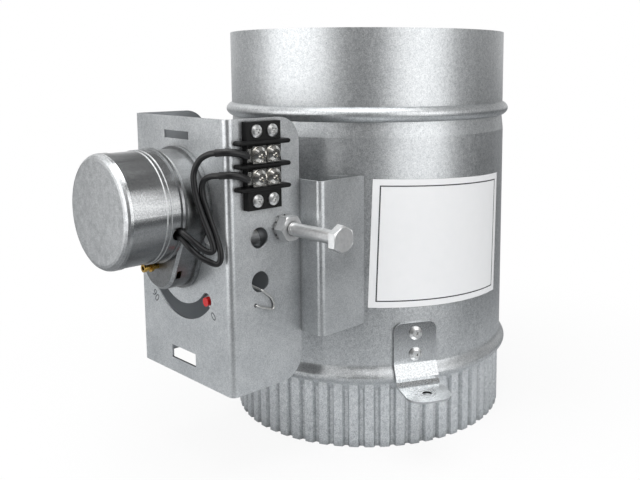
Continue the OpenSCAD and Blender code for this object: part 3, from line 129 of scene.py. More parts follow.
room_high = add_node(room_tree, "ShaderNodeMapRange", {"From Min": 0.05, "From Max": 0.60},
                     {"Value": room_up.outputs["Z"]}, interpolation_type="SMOOTHSTEP")
room_metal = add_node(room_tree, "ShaderNodeMix", {"B": ceiling_level},
                      {"Factor": room_high.outputs["Result"], "A": room_walls.outputs["Color"]},
                      data_type="FLOAT")
room_seen = add_node(room_tree, "ShaderNodeMath", links={0: room_ray.outputs["Is Camera Ray"],
                     1: room_ray.outputs["Is Transmission Ray"]}, operation="MAXIMUM")
room_other = add_node(room_tree, "ShaderNodeMix", {"A": fill_level},
                      {"Factor": room_ray.outputs["Is Glossy Ray"], "B": room_metal.outputs["Result"]},
                      data_type="FLOAT")
room_level = add_node(room_tree, "ShaderNodeMix", {"B": 1.0},
                      {"Factor": room_seen.outputs[0], "A": room_other.outputs["Result"]},
                      data_type="FLOAT")
room_light = add_node(room_tree, "ShaderNodeBackground", {"Color": grey(1)},
                      {"Strength": room_level.outputs["Result"]})
add_node(room_tree, "ShaderNodeOutputWorld", links={"Surface": room_light.outputs[0]})

for name, azimuth, away, height, aim_height, wide, tall, watts in (
        ("softbox_right", -6.0, 0.42, 0.27, 0.27, 0.35, 0.50, 0.86),
        ("softbox_left", -98.5, 0.40, 0.27, 0.27, 0.38, 0.50, 0.94),
        ("softbox_high", -170.0, 0.42, 0.54, 0.12, 0.40, 0.40, 0.40)):
    lamp = bpy.data.lights.new(name, "AREA")
    lamp.shape = "RECTANGLE"
    lamp.size = wide
    lamp.size_y = tall
    lamp.energy = watts
    softbox = bpy.data.objects.new(name, lamp)
    place = Vector((math.cos(math.radians(azimuth)), math.sin(math.radians(azimuth)), 0)) * away
    place.z = height
    softbox.location = place
    softbox.rotation_euler = (aim_height * upright - place).to_track_quat("-Z", "Y").to_euler()
    softbox.visible_camera = False
    bpy.context.scene.collection.objects.link(softbox)
overhead = bpy.data.lights.new("overhead", "AREA")
overhead.size = 1.0
overhead.energy = 10.0
overhead_object = bpy.data.objects.new("overhead", overhead)
overhead_object.location = (0.15, -0.25, 1.3)
bpy.context.scene.collection.objects.link(overhead_object)

# The floor is white where the camera sees it, and keeps a soft shade round the duct. The metal sees a
# pale card under the duct, painted darker on its left as a painted shadow of the motor, and, past the
# card's edge, a table that is dark on the right only.
floor_radius = 6
card_edge = 0.19
table_edge = 0.27
table_half_width = 0.25
table_leftward = (-1.0, 0.1, 0.0)
shade_inner = 0.10
shade_outer = 0.30
shade_level = 0.88
floor_mesh = bpy.data.meshes.new("floor")
floor_form = bmesh.new()
bmesh.ops.create_circle(floor_form, cap_ends=True, segments=96, radius=floor_radius)
floor_form.to_mesh(floor_mesh)
floor_form.free()
floor = bpy.data.objects.new("floor", floor_mesh)
bpy.context.scene.collection.objects.link(floor)
white_sweep = bpy.data.materials.new("white_paper_sweep")
white_sweep.use_nodes = True
sweep_tree = white_sweep.node_tree
sweep_tree.nodes.clear()
sweep_ray = add_node(sweep_tree, "ShaderNodeLightPath")
sweep_seen = add_node(sweep_tree, "ShaderNodeMath", links={0: sweep_ray.outputs["Is Camera Ray"],
                      1: sweep_ray.outputs["Is Transmission Ray"]}, operation="MAXIMUM")
sweep_where = add_node(sweep_tree, "ShaderNodeTexCoord")
sweep_reach = add_node(sweep_tree, "ShaderNodeVectorMath", links={0: sweep_where.outputs["Object"]},
                       operation="LENGTH")
sweep_edge = add_node(sweep_tree, "ShaderNodeMapRange", {"From Min": card_edge, "From Max": table_edge},
                      {"Value": sweep_reach.outputs["Value"]}, interpolation_type="SMOOTHSTEP")
sweep_leftward = add_node(sweep_tree, "ShaderNodeVectorMath", {1: table_leftward},
                          {0: sweep_where.outputs["Object"]}, operation="DOT_PRODUCT")
sweep_left = add_node(sweep_tree, "ShaderNodeMapRange",
                      {"From Min": -table_half_width, "From Max": table_half_width},
                      {"Value": sweep_leftward.outputs["Value"]})
# Painted shadow: the card's left side is darker.
sweep_card = add_node(sweep_tree, "ShaderNodeMix", {"A": from_hex("#C4C6C8"), "B": from_hex("#9EA0A2")},
                      {"Factor": sweep_left.outputs["Result"]}, data_type="RGBA")
sweep_table = add_node(sweep_tree, "ShaderNodeMix", {"A": from_hex("#505254"), "B": from_hex("#B0B2B4")},
                       {"Factor": sweep_left.outputs["Result"]}, data_type="RGBA")
sweep_under = add_node(sweep_tree, "ShaderNodeMix",
                       links={"Factor": sweep_edge.outputs["Result"], "A": sweep_card.outputs["Result"],
                              "B": sweep_table.outputs["Result"]}, data_type="RGBA")
sweep_tone = add_node(sweep_tree, "ShaderNodeMix", {"B": from_hex("#E6E6E6")},
                      {"Factor": sweep_seen.outputs[0], "A": sweep_under.outputs["Result"]},
                      data_type="RGBA")
sweep_paper = add_node(sweep_tree, "ShaderNodeBsdfDiffuse", links={"Color": sweep_tone.outputs["Result"]})
sweep_glow = add_node(sweep_tree, "ShaderNodeEmission", {"Color": grey(1), "Strength": 1.0})
sweep_fade = add_node(sweep_tree, "ShaderNodeMapRange",
                      {"From Min": shade_inner, "From Max": shade_outer, "To Min": shade_level,
                       "To Max": 1.0},
                      {"Value": sweep_reach.outputs["Value"]}, interpolation_type="SMOOTHSTEP")
sweep_lit = add_node(sweep_tree, "ShaderNodeMath",
                     links={0: sweep_seen.outputs[0], 1: sweep_fade.outputs["Result"]},
                     operation="MULTIPLY")
sweep_mix = add_node(sweep_tree, "ShaderNodeMixShader",
                     links={0: sweep_lit.outputs[0], 1: sweep_paper.outputs[0], 2: sweep_glow.outputs[0]})
add_node(sweep_tree, "ShaderNodeOutputMaterial", links={"Surface": sweep_mix.outputs[0]})
floor_mesh.materials.append(white_sweep)
bpy.context.scene.view_settings.view_transform = "Standard"


# Duct and blade plates.
# Hot-dip galvanised sheet, rolled and seamed, with its ends crimped and beaded. The zinc's crystals are
# too fine to show, so their even grey grain is drawn coarser, with flecks and clouds over it. The
# crimped ribs are painted brighter, a painted highlight, and an occlusion node paints shade into the creases.
def start_finish(name, settings):
    finish = bpy.data.materials.new(name)
    finish.use_nodes = True
    shader = finish.node_tree.nodes["Principled BSDF"]
    for socket_name, value in settings.items():
        shader.inputs[socket_name].default_value = value
    return finish, finish.node_tree, shader


def layer_patterns(tree, *layers):
    total = None
    for pattern, share in layers:
        links = {0: pattern.outputs["Fac"]}
        if total:
            links[2] = total.outputs[0]
        total = add_node(tree, "ShaderNodeMath", {1: share, 2: 0.0}, links, operation="MULTIPLY_ADD")
    return total


def dress(finish, *names):
    for name in names:
        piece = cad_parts[name]
        if not piece.material_slots:
            piece.data.materials.append(finish)
        for slot in piece.material_slots:
            slot.material = finish


grain = 0.55 * MM
fleck = 1.8 * MM
cloud = 40 * MM
rib_top = 34 * MM
rib_fade = 2 * MM
crease_shade_reach = 4 * MM
galvanised, tree, shader = start_finish("hot_dip_galvanised_sheet", {"Metallic": 0.92})
where = add_node(tree, "ShaderNodeTexCoord")
speckle = add_node(tree, "ShaderNodeTexNoise", {"Scale": 1 / grain, "Detail": 2.0, "Roughness": 0.6},
                   {"Vector": where.outputs["Object"]})
flecks = add_node(tree, "ShaderNodeTexNoise", {"Scale": 1 / fleck, "Detail": 2.0},
                  {"Vector": where.outputs["Object"]})
clouds = add_node(tree, "ShaderNodeTexNoise", {"Scale": 1 / cloud, "Detail": 2.0},
                  {"Vector": where.outputs["Object"]})
mixed = layer_patterns(tree, (speckle, 0.60), (flecks, 0.28), (clouds, 0.12))
tone = add_node(tree, "ShaderNodeValToRGB", links={"Fac": mixed.outputs[0]})
tone.color_ramp.elements[0].position = 0.30
tone.color_ramp.elements[0].color = from_hex("#A6AAAD")
tone.color_ramp.elements[1].position = 0.70
tone.color_ramp.elements[1].color = from_hex("#F2F4F5")
sheen = add_node(tree, "ShaderNodeMapRange", {"To Min": 0.34, "To Max": 0.46},
                 {"Value": flecks.outputs["Fac"]})
relief = add_node(tree, "ShaderNodeBump", {"Strength": 0.35, "Distance": 0.04 * MM},
                  {"Height": speckle.outputs["Fac"]})
height = add_node(tree, "ShaderNodeSeparateXYZ", links={"Vector": where.outputs["Object"]})
# Painted highlight: the base colour is scaled up on the crimped ribs below rib_top.
painted_light_scale = add_node(tree, "ShaderNodeMapRange",
                   {"From Min": rib_top, "From Max": rib_top + rib_fade, "To Min": 1.26, "To Max": 1.0},
                   {"Value": height.outputs["Z"]})
painted_light_tone = add_node(tree, "ShaderNodeVectorMath",
                     links={0: tone.outputs["Color"], "Scale": painted_light_scale.outputs["Result"]},
                     operation="SCALE")
# Painted shade: an occlusion node darkens the colour in the creases.
painted_crease_shade = add_node(tree, "ShaderNodeAmbientOcclusion", {"Distance": crease_shade_reach},
                   {"Color": painted_light_tone.outputs["Vector"]}, samples=8)
crease_shaded = add_node(tree, "ShaderNodeMix", {"Factor": 0.45},
                 {"A": painted_light_tone.outputs["Vector"], "B": painted_crease_shade.outputs["Color"]},
                 data_type="RGBA", clamp_result=True)
tree.links.new(crease_shaded.outputs["Result"], shader.inputs["Base Color"])
tree.links.new(sheen.outputs["Result"], shader.inputs["Roughness"])
tree.links.new(relief.outputs["Normal"], shader.inputs["Normal"])
dress(galvanised, "duct_shell", "blade_top", "blade_bottom")

# Mounting tab.
# Stamped from electro-zinc sheet, smoother and brighter than the duct, so its upright face mirrors the
# dark table. Its upward-facing foot is painted brighter still, a painted highlight, and a dark disc round
# its hole is painted shade.
tab_grain = 0.6 * MM
tab_hole_middle = (83.14 * MM, -43.65 * MM, 0)
# Radius of the dark disc painted round the hole as shade.
hole_shade_radius = 2.3 * MM
tab_sheet, tree, shader = start_finish("electro_zinc_tab_sheet", {"Metallic": 0.9, "Roughness": 0.16})
where = add_node(tree, "ShaderNodeTexCoord")
speckle = add_node(tree, "ShaderNodeTexNoise", {"Scale": 1 / tab_grain, "Detail": 2.0},
                   {"Vector": where.outputs["Object"]})
tone = add_node(tree, "ShaderNodeValToRGB", links={"Fac": speckle.outputs["Fac"]})
tone.color_ramp.elements[0].position = 0.25
tone.color_ramp.elements[0].color = from_hex("#A6A9AB")
tone.color_ramp.elements[1].position = 0.75
tone.color_ramp.elements[1].color = from_hex("#DBDDDE")
relief = add_node(tree, "ShaderNodeBump", {"Strength": 0.2, "Distance": 0.02 * MM},
                  {"Height": speckle.outputs["Fac"]})
on_floor_plan = add_node(tree, "ShaderNodeVectorMath", {1: (1, 1, 0)}, {0: where.outputs["Object"]},
                         operation="MULTIPLY")
from_hole = add_node(tree, "ShaderNodeVectorMath", {1: tab_hole_middle},
                     {0: on_floor_plan.outputs["Vector"]}, operation="DISTANCE")
in_hole_shade = add_node(tree, "ShaderNodeMath", {1: hole_shade_radius}, {0: from_hole.outputs["Value"]},
                   operation="LESS_THAN")
facing = add_node(tree, "ShaderNodeNewGeometry")
upward = add_node(tree, "ShaderNodeSeparateXYZ", links={"Vector": facing.outputs["Normal"]})
# Painted highlight: faces turned upward get a brighter colour.
painted_top_light = add_node(tree, "ShaderNodeMapRange",
                  {"From Min": 0.7, "From Max": 0.95, "To Min": 1.0, "To Max": 1.5},
                  {"Value": upward.outputs["Z"]})
top_lit_tone = add_node(tree, "ShaderNodeVectorMath",
                    links={0: tone.outputs["Color"], "Scale": painted_top_light.outputs["Result"]},
                    operation="SCALE")
# Painted shade: the colour inside the hole's radius is set dark.
hole_shaded = add_node(tree, "ShaderNodeMix", {"B": from_hex("#2C2D2E")},
                 {"Factor": in_hole_shade.outputs[0], "A": top_lit_tone.outputs["Vector"]},
                 data_type="RGBA", clamp_result=True)
tree.links.new(hole_shaded.outputs["Result"], shader.inputs["Base Color"])
tree.links.new(relief.outputs["Normal"], shader.inputs["Normal"])
dress(tab_sheet, "mounting_tab")


# Blade's seal, bushings, shaft and fasteners.
# A black rubber disc lies between the plates; the shaft turns in two moulded nylon bushings, and bolts,
# nuts and rivets of bright zinc-plated steel hold the blade to it.
def mottled_finish(name, mottle_size, detail, dark, light, settings):
    finish, tree, shader = start_finish(name, settings)
    where = add_node(tree, "ShaderNodeTexCoord")
    mottle = add_node(tree, "ShaderNodeTexNoise", {"Scale": 1 / mottle_size, "Detail": detail},
                      {"Vector": where.outputs["Object"]})
    tone = add_node(tree, "ShaderNodeValToRGB", links={"Fac": mottle.outputs["Fac"]})
    tone.color_ramp.elements[0].color = from_hex(dark)
    tone.color_ramp.elements[1].color = from_hex(light)
    tree.links.new(tone.outputs["Color"], shader.inputs["Base Color"])
    return finish, tree, shader, mottle


# Sheet rubber is matt and almost black, with a fine nap.
rubber_nap = 0.6 * MM
rubber, tree, shader, nap = mottled_finish("black_sheet_rubber", rubber_nap, 2.0, "#1B1B1C", "#303032",
                                           {"Roughness": 0.75})
relief = add_node(tree, "ShaderNodeBump", {"Strength": 0.3, "Distance": 0.05 * MM},
                  {"Height": nap.outputs["Fac"]})
tree.links.new(relief.outputs["Normal"], shader.inputs["Normal"])
dress(rubber, "blade_seal")

# Moulded nylon is ivory and slightly clear, with faint swirls from its flow into the mould.
nylon_flow = 3 * MM
nylon, *_ = mottled_finish("ivory_moulded_nylon", nylon_flow, 3.0, "#D6D1C0", "#E9E5D8",
                           {"Roughness": 0.42, "Subsurface Weight": 0.05,
                            "Subsurface Radius": (2 * MM, 1.8 * MM, 1.2 * MM)})
dress(nylon, "front_bushing", "rear_bushing", "coil_bobbin")

# Bright zinc plate is pale and slightly cloudy. Its undersides are painted darker and an occlusion node
# paints shade into its creases.
plating_cloud = 1.5 * MM
plating_shade_reach = 2 * MM
zinc, tree, shader = start_finish("bright_zinc_plated_steel", {"Metallic": 0.86})
where = add_node(tree, "ShaderNodeTexCoord")
plating = add_node(tree, "ShaderNodeTexNoise", {"Scale": 1 / plating_cloud, "Detail": 2.0},
                   {"Vector": where.outputs["Object"]})
tone = add_node(tree, "ShaderNodeValToRGB", links={"Fac": plating.outputs["Fac"]})
tone.color_ramp.elements[0].position = 0.3
tone.color_ramp.elements[0].color = from_hex("#EDEEEE")
tone.color_ramp.elements[1].position = 0.75
tone.color_ramp.elements[1].color = from_hex("#FDFDFD")
sheen = add_node(tree, "ShaderNodeMapRange", {"To Min": 0.28, "To Max": 0.36},
                 {"Value": plating.outputs["Fac"]})
facing = add_node(tree, "ShaderNodeNewGeometry")
turned = add_node(tree, "ShaderNodeSeparateXYZ", links={"Vector": facing.outputs["Normal"]})
# Painted shade: faces turned downward get a darker colour.
painted_underside_shade = add_node(tree, "ShaderNodeMapRange",
                     {"From Min": -0.7, "From Max": -0.1, "To Min": 0.4, "To Max": 1.0},
                     {"Value": turned.outputs["Z"]})
shaded = add_node(tree, "ShaderNodeVectorMath",
                  links={0: tone.outputs["Color"], "Scale": painted_underside_shade.outputs["Result"]},
                  operation="SCALE")
# Painted shade: an occlusion node darkens the colour in the creases.
painted_crease_shade = add_node(tree, "ShaderNodeAmbientOcclusion", {"Distance": plating_shade_reach},
                   {"Color": shaded.outputs["Vector"]}, samples=8)
tree.links.new(painted_crease_shade.outputs["Color"], shader.inputs["Base Color"])
tree.links.new(sheen.outputs["Result"], shader.inputs["Roughness"])
dress(zinc, "damper_shaft", "blade_bolts", "blade_nuts", "blade_rivets", "indicator_arm",
      "output_shaft", "motor_screws", "motor_nuts", "foot_rivets", "bracket_rivets",
      "stop_nut", "lock_washer")

# Brackets.
# Folded from galvanised sheet with the same fine grain as the duct's, a little flatter in tone, with
# faint clouds from handling. An occlusion node paints shade into the bends, and the inside of the
# channel is painted darker, as painted shade.
bracket_grain = 0.6 * MM
bracket_fleck = 2.2 * MM
bracket_cloud = 18 * MM
bend_shade_reach = 2.5 * MM
flange_inside = 37.8 * MM
plate_back = -124.45 * MM
bend_reach = 160.5 * MM
bracket_sheet, tree, shader = start_finish("galvanised_bracket_sheet", {"Metallic": 0.84})
where = add_node(tree, "ShaderNodeTexCoord")
speckle = add_node(tree, "ShaderNodeTexNoise", {"Scale": 1 / bracket_grain, "Detail": 2.0, "Roughness": 0.6},
                   {"Vector": where.outputs["Object"]})
flecks = add_node(tree, "ShaderNodeTexNoise", {"Scale": 1 / bracket_fleck, "Detail": 2.0},
                  {"Vector": where.outputs["Object"]})
clouds = add_node(tree, "ShaderNodeTexNoise", {"Scale": 1 / bracket_cloud, "Detail": 3.0},
                  {"Vector": where.outputs["Object"]})
mixed = layer_patterns(tree, (speckle, 0.55), (flecks, 0.20), (clouds, 0.25))
tone = add_node(tree, "ShaderNodeValToRGB", links={"Fac": mixed.outputs[0]})
tone.color_ramp.elements[0].position = 0.30
tone.color_ramp.elements[0].color = from_hex("#ADB1B4")
tone.color_ramp.elements[1].position = 0.70
tone.color_ramp.elements[1].color = from_hex("#EAECED")
sheen = add_node(tree, "ShaderNodeMapRange", {"To Min": 0.30, "To Max": 0.42},
                 {"Value": clouds.outputs["Fac"]})
relief = add_node(tree, "ShaderNodeBump", {"Strength": 0.25, "Distance": 0.03 * MM},
                  {"Height": speckle.outputs["Fac"]})
place = add_node(tree, "ShaderNodeSeparateXYZ", links={"Vector": where.outputs["Object"]})
across_channel = add_node(tree, "ShaderNodeMath", links={0: place.outputs["X"]}, operation="ABSOLUTE")
between_flanges = add_node(tree, "ShaderNodeMath", {1: flange_inside}, {0: across_channel.outputs[0]},
                           operation="LESS_THAN")
behind_plate = add_node(tree, "ShaderNodeMath", {1: plate_back}, {0: place.outputs["Y"]},
                        operation="GREATER_THAN")
from_corner = add_node(tree, "ShaderNodeMath", links={0: across_channel.outputs[0], 1: place.outputs["Y"]},
                       operation="SUBTRACT")
within_bend = add_node(tree, "ShaderNodeMath", {1: bend_reach}, {0: from_corner.outputs[0]},
                       operation="LESS_THAN")
# Painted shade: the faces inside the channel, behind the plate, get a darker colour.
channel_shade = add_node(tree, "ShaderNodeMath", links={0: between_flanges.outputs[0], 1: behind_plate.outputs[0]},
                operation="MULTIPLY")
channel_shade = add_node(tree, "ShaderNodeMath", links={0: channel_shade.outputs[0], 1: within_bend.outputs[0]},
                operation="MULTIPLY")
channel_shaded = add_node(tree, "ShaderNodeMix", {"B": from_hex("#9A9DA0")},
                 {"Factor": channel_shade.outputs[0], "A": tone.outputs["Color"]}, data_type="RGBA")
# Painted shade: an occlusion node darkens the colour in the bends.
painted_crease_shade = add_node(tree, "ShaderNodeAmbientOcclusion", {"Distance": bend_shade_reach},
                   {"Color": channel_shaded.outputs["Result"]}, samples=8)
crease_shaded = add_node(tree, "ShaderNodeMix", {"Factor": 0.5},
                 {"A": channel_shaded.outputs["Result"], "B": painted_crease_shade.outputs["Color"]}, data_type="RGBA")
tree.links.new(crease_shaded.outputs["Result"], shader.inputs["Base Color"])
tree.links.new(sheen.outputs["Result"], shader.inputs["Roughness"])
tree.links.new(relief.outputs["Normal"], shader.inputs["Normal"])
dress(bracket_sheet, "motor_bracket", "standoff_bracket")

# Label.
# A white satin film stuck on the duct two degrees out of true, left bare apart from its thin grey frame
# line, which is printed on it.
bore_radius = 76.2 * MM
duct_radius = 76.8 * MM
film = 0.3 * MM
ink_lift = 0.03 * MM
label_turn = math.radians(-13.25)
label_tilt = math.radians(-2)
label_middle = 104 * MM
label_width = 84 * MM
label_half_width = bore_radius * math.sin(label_width / bore_radius / 2)
label_half_height = 32 * MM
frame_inset = 3.0 * MM
frame_line = 0.6 * MM
line_steps = 48
film_mottle = 6 * MM
label_film, *_ = mottled_finish("white_satin_label_film", film_mottle, 2.0, "#F5F6F7", "#FBFBFC",
                                {"Roughness": 0.45})
dress(label_film, "rating_label")


def on_label(along, up):
    side = along * math.cos(label_tilt) - up * math.sin(label_tilt)
    radius = duct_radius + film + ink_lift
    spot = Vector((math.sqrt(radius ** 2 - side ** 2), side, 0))
    spot = Matrix.Rotation(label_turn, 3, "Z") @ spot
    spot.z = label_middle + along * math.sin(label_tilt) + up * math.cos(label_tilt)
    return spot


frame_form = bmesh.new()
wide = label_half_width - frame_inset
high = label_half_height - frame_inset
for left, right, low, top in ((-wide, wide, high - frame_line, high),
                              (-wide, wide, -high, -high + frame_line),
                              (-wide, -wide + frame_line, -high, high),
                              (wide - frame_line, wide, -high, high)):
    strip = [[frame_form.verts.new(on_label(left + (right - left) * i / line_steps, up)) for up in (low, top)]
             for i in range(line_steps + 1)]
    for i in range(line_steps):
        frame_form.faces.new((strip[i][0], strip[i + 1][0], strip[i + 1][1], strip[i][1]))
label_line_mesh = bpy.data.meshes.new("label_frame_line")
frame_form.to_mesh(label_line_mesh)
frame_form.free()
label_line = bpy.data.objects.new("label_frame_line", label_line_mesh)
bpy.context.scene.collection.objects.link(label_line)
label_ink, *_ = start_finish("grey_label_ink", {"Base Color": from_hex("#3C3E40"), "Roughness": 0.5})
label_line_mesh.materials.append(label_ink)
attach(label_line, "duct")

# Terminals and their screws.
# Nickel-plated brass and steel, clamped to the block by their screws. The plating is bright and a
# little warm, with small sharp highlights.
nickel_mottle = 0.7 * MM
nickel, *_ = mottled_finish("bright_nickel_plate", nickel_mottle, 2.0, "#C4C2BE", "#F6F4EF",
                            {"Metallic": 1.0, "Roughness": 0.15})
dress(nickel, "terminal_links", "clamp_plates", "terminal_screws", "lead_lugs")

# Tab's rivets and block's screws.
# Steel with pressed heads under satin zinc, which catches the light evenly. The rivets hold the tab to
# the duct, and the screws the block to the bracket.
pressed_mottle = 0.8 * MM
pressed, *_ = mottled_finish("satin_zinc_pressed_heads", pressed_mottle, 2.0, "#D6D7D7", "#F4F4F3",
                             {"Metallic": 1.0, "Roughness": 0.30})
dress(pressed, "tab_rivets", "block_screws")

# Terminal block.
# Moulded in one piece from black phenolic, which is nearly matt, with a fine grain from its mould that
# is drawn coarser here so that it shows.
phenolic_grain = 0.5 * MM
phenolic, tree, shader, mould = mottled_finish("black_moulded_phenolic", phenolic_grain, 2.0,
                                               "#070708", "#101011",
                                               {"Roughness": 0.48, "Specular IOR Level": 0.3})
relief = add_node(tree, "ShaderNodeBump", {"Strength": 0.15, "Distance": 0.03 * MM},
                  {"Height": mould.outputs["Fac"]})
tree.links.new(relief.outputs["Normal"], shader.inputs["Normal"])
dress(phenolic, "terminal_base")

# Moving parts behind the plate.
# The pointer's tip is dipped in glossy red enamel. The coupler, stop lever, clip, set screws, arbor and
# rotor are steel, blackened in hot oil, which leaves them dark and half matt.
dip_ripple = 1.5 * MM
red_enamel, *_ = mottled_finish("red_dip_enamel", dip_ripple, 1.0, "#CE090B", "#EC1012",
                                {"Roughness": 0.35, "Coat Weight": 0.4})
dress(red_enamel, "indicator_tip")

oxide_mottle = 0.8 * MM
blackened, *_ = mottled_finish("oil_blackened_steel", oxide_mottle, 3.0, "#3B3B3C", "#5C5C5D",
                               {"Metallic": 1.0, "Roughness": 0.4})
dress(blackened, "shaft_clip", "set_screws", "shaft_coupler", "stop_lever", "idler_arbor", "motor_rotor")

# Motor.
# Drawn steel can, gear case and base, satin nickel-plated. The flats keep the sheet's matt grain. By the
# way each face turns, the rounded corner is painted brighter, a painted highlight, and the round sides
# and undersides are painted darker, as painted shade.
can_grain = 0.6 * MM
die_mark = 3 * MM
draw_stretch = 0.12
can_steel, tree, shader = start_finish("satin_plated_drawn_steel", {"Metallic": 1.0})
where = add_node(tree, "ShaderNodeTexCoord")
speckle = add_node(tree, "ShaderNodeTexNoise", {"Scale": 1 / can_grain, "Detail": 2.0},
                   {"Vector": where.outputs["Object"]})
drawn = add_node(tree, "ShaderNodeMapping", {"Scale": (1.0, draw_stretch, 1.0)},
                 {"Vector": where.outputs["Object"]})
marks = add_node(tree, "ShaderNodeTexNoise", {"Scale": 1 / die_mark, "Detail": 3.0},
                 {"Vector": drawn.outputs["Vector"]})
mixed = layer_patterns(tree, (speckle, 0.55), (marks, 0.45))
tone = add_node(tree, "ShaderNodeValToRGB", links={"Fac": mixed.outputs[0]})
tone.color_ramp.elements[0].position = 0.30
tone.color_ramp.elements[0].color = from_hex("#ACAEB0")
tone.color_ramp.elements[1].position = 0.70
tone.color_ramp.elements[1].color = from_hex("#E6E8E9")
facing = add_node(tree, "ShaderNodeNewGeometry")
flatness = add_node(tree, "ShaderNodeVectorMath", {1: (0, -1, 0)}, {0: facing.outputs["Normal"]},
                    operation="DOT_PRODUCT")
sheen = add_node(tree, "ShaderNodeMapRange",
                 {"From Min": 0.10, "From Max": 0.60, "To Min": 0.22, "To Max": 0.42},
                 {"Value": flatness.outputs["Value"]})
relief = add_node(tree, "ShaderNodeBump", {"Strength": 0.2, "Distance": 0.03 * MM},
                  {"Height": speckle.outputs["Fac"]})
# Painted light: these levels scale the colour by how far a face turns to the front; the corner is a painted
# highlight, the sides painted shade.
side_level = 0.66
corner_levels = ((0.05, 0.68), (0.35, 1.10), (0.93, 1.14), (0.985, 0.80))
face_level = 0.80
painted_light_scale = add_node(tree, "ShaderNodeValToRGB", links={"Fac": flatness.outputs["Value"]})
painted_light_scale.color_ramp.elements[0].color = grey(side_level)
painted_light_scale.color_ramp.elements[1].color = grey(face_level)
for at, level in corner_levels:
    painted_light_scale.color_ramp.elements.new(at).color = grey(level)
painted_light_tone = add_node(tree, "ShaderNodeVectorMath",
                     links={0: tone.outputs["Color"], 1: painted_light_scale.outputs["Color"]}, operation="MULTIPLY")
turned = add_node(tree, "ShaderNodeSeparateXYZ", links={"Vector": facing.outputs["Normal"]})
# Painted shade: faces turned downward get a darker colour.
painted_underside_shade = add_node(tree, "ShaderNodeMapRange",
                     {"From Min": -0.5, "From Max": 0.0, "To Min": 0.5, "To Max": 1.0},
                     {"Value": turned.outputs["Z"]})
shaded = add_node(tree, "ShaderNodeVectorMath",
                  links={0: painted_light_tone.outputs["Vector"], "Scale": painted_underside_shade.outputs["Result"]},
                  operation="SCALE")
tree.links.new(shaded.outputs["Vector"], shader.inputs["Base Color"])
tree.links.new(sheen.outputs["Result"], shader.inputs["Roughness"])
tree.links.new(relief.outputs["Normal"], shader.inputs["Normal"])
dress(can_steel, "motor_can", "gear_base")

# The gear case has the same plating and painted light, but its flat face is painted darker, as painted
# shade from the can, and its sides are less polished.
case_face_level = 0.36
case_steel = can_steel.copy()
case_steel.name = "satin_plated_gear_case"
case_nodes = case_steel.node_tree.nodes
# Painted shade: the face levels of the copied ramp are set dark.
for stop in case_nodes[painted_light_scale.name].color_ramp.elements[-2:]:
    stop.color = grey(case_face_level)
case_nodes[sheen.name].inputs["To Min"].default_value = 0.34
dress(case_steel, "gear_case")

# Machined brass is a clear yellow with faint brown tarnish.
tarnish_mottle = 2 * MM
brass, *_ = mottled_finish("machined_brass", tarnish_mottle, 3.0, "#B98E3E", "#E6C36E",
                           {"Metallic": 1.0, "Roughness": 0.26})
dress(brass, "gear_post", "idler_gear", "output_gear", "rotor_pinion")

# The winding's wire is too fine to show, so the enamelled copper has a mottle of reds and browns.
wire_mottle = 0.5 * MM
enamelled_copper, *_ = mottled_finish("enamelled_copper_winding", wire_mottle, 2.0, "#8C4A22", "#C9763C",
                                      {"Metallic": 1.0, "Roughness": 0.35, "Coat Weight": 0.5})
dress(enamelled_copper, "field_coil")

# Leads.
# Two stranded leads in black PVC run from the can to the left terminals, each with a thicker sleeve
# over its last stretch. A node tree sweeps a round tube along each route, whose points are in
# millimetres.
swept = bpy.data.node_groups.new("swept_round_tube", "GeometryNodeTree")
swept.interface.new_socket("Geometry", in_out="INPUT", socket_type="NodeSocketGeometry")
for socket_name, kind in (("Radius", "NodeSocketFloat"), ("Sides", "NodeSocketInt"),
                          ("Smoothness", "NodeSocketInt"), ("Finish", "NodeSocketMaterial")):
    swept.interface.new_socket(socket_name, in_out="INPUT", socket_type=kind)
swept.interface.new_socket("Geometry", in_out="OUTPUT", socket_type="NodeSocketGeometry")
given = add_node(swept, "NodeGroupInput")
route = add_node(swept, "GeometryNodeMeshToCurve", links={"Mesh": given.outputs["Geometry"]})
route = add_node(swept, "GeometryNodeCurveSplineType", links={"Curve": route.outputs["Curve"]},
                 spline_type="CATMULL_ROM")
route = add_node(swept, "GeometryNodeSetSplineResolution",
                 links={"Geometry": route.outputs["Curve"], "Resolution": given.outputs["Smoothness"]})
ring = add_node(swept, "GeometryNodeCurvePrimitiveCircle",
                links={"Resolution": given.outputs["Sides"], "Radius": given.outputs["Radius"]})
tube = add_node(swept, "GeometryNodeCurveToMesh", {"Fill Caps": True},
                {"Curve": route.outputs["Geometry"], "Profile Curve": ring.outputs["Curve"]})
smooth = add_node(swept, "GeometryNodeSetShadeSmooth", links={"Geometry": tube.outputs["Mesh"]})
whole = add_node(swept, "GeometryNodeRealizeInstances", links={"Geometry": smooth.outputs["Geometry"]})
coated = add_node(swept, "GeometryNodeSetMaterial",
                  links={"Geometry": whole.outputs["Geometry"], "Material": given.outputs["Finish"]})
add_node(swept, "NodeGroupOutput", links={"Geometry": coated.outputs["Geometry"]})


def sweep(name, points, radius, sides, smoothness, finish):
    line = bpy.data.meshes.new(name)
    line.from_pydata([Vector(p) * MM for p in points], [(i, i + 1) for i in range(len(points) - 1)], [])
    piece = bpy.data.objects.new(name, line)
    bpy.context.scene.collection.objects.link(piece)
    modifier = piece.modifiers.new("swept", "NODES")
    modifier.node_group = swept
    chosen = {"Radius": radius, "Sides": sides, "Smoothness": smoothness, "Finish": finish}
    for socket in swept.interface.items_tree:
        if socket.in_out == "INPUT" and socket.name in chosen:
            modifier[socket.identifier] = chosen[socket.name]
    bpy.context.view_layer.update()
    graph = bpy.context.evaluated_depsgraph_get()
    made = bpy.data.meshes.new_from_object(piece.evaluated_get(graph), depsgraph=graph)
    piece.modifiers.clear()
    piece.data = made
    return piece


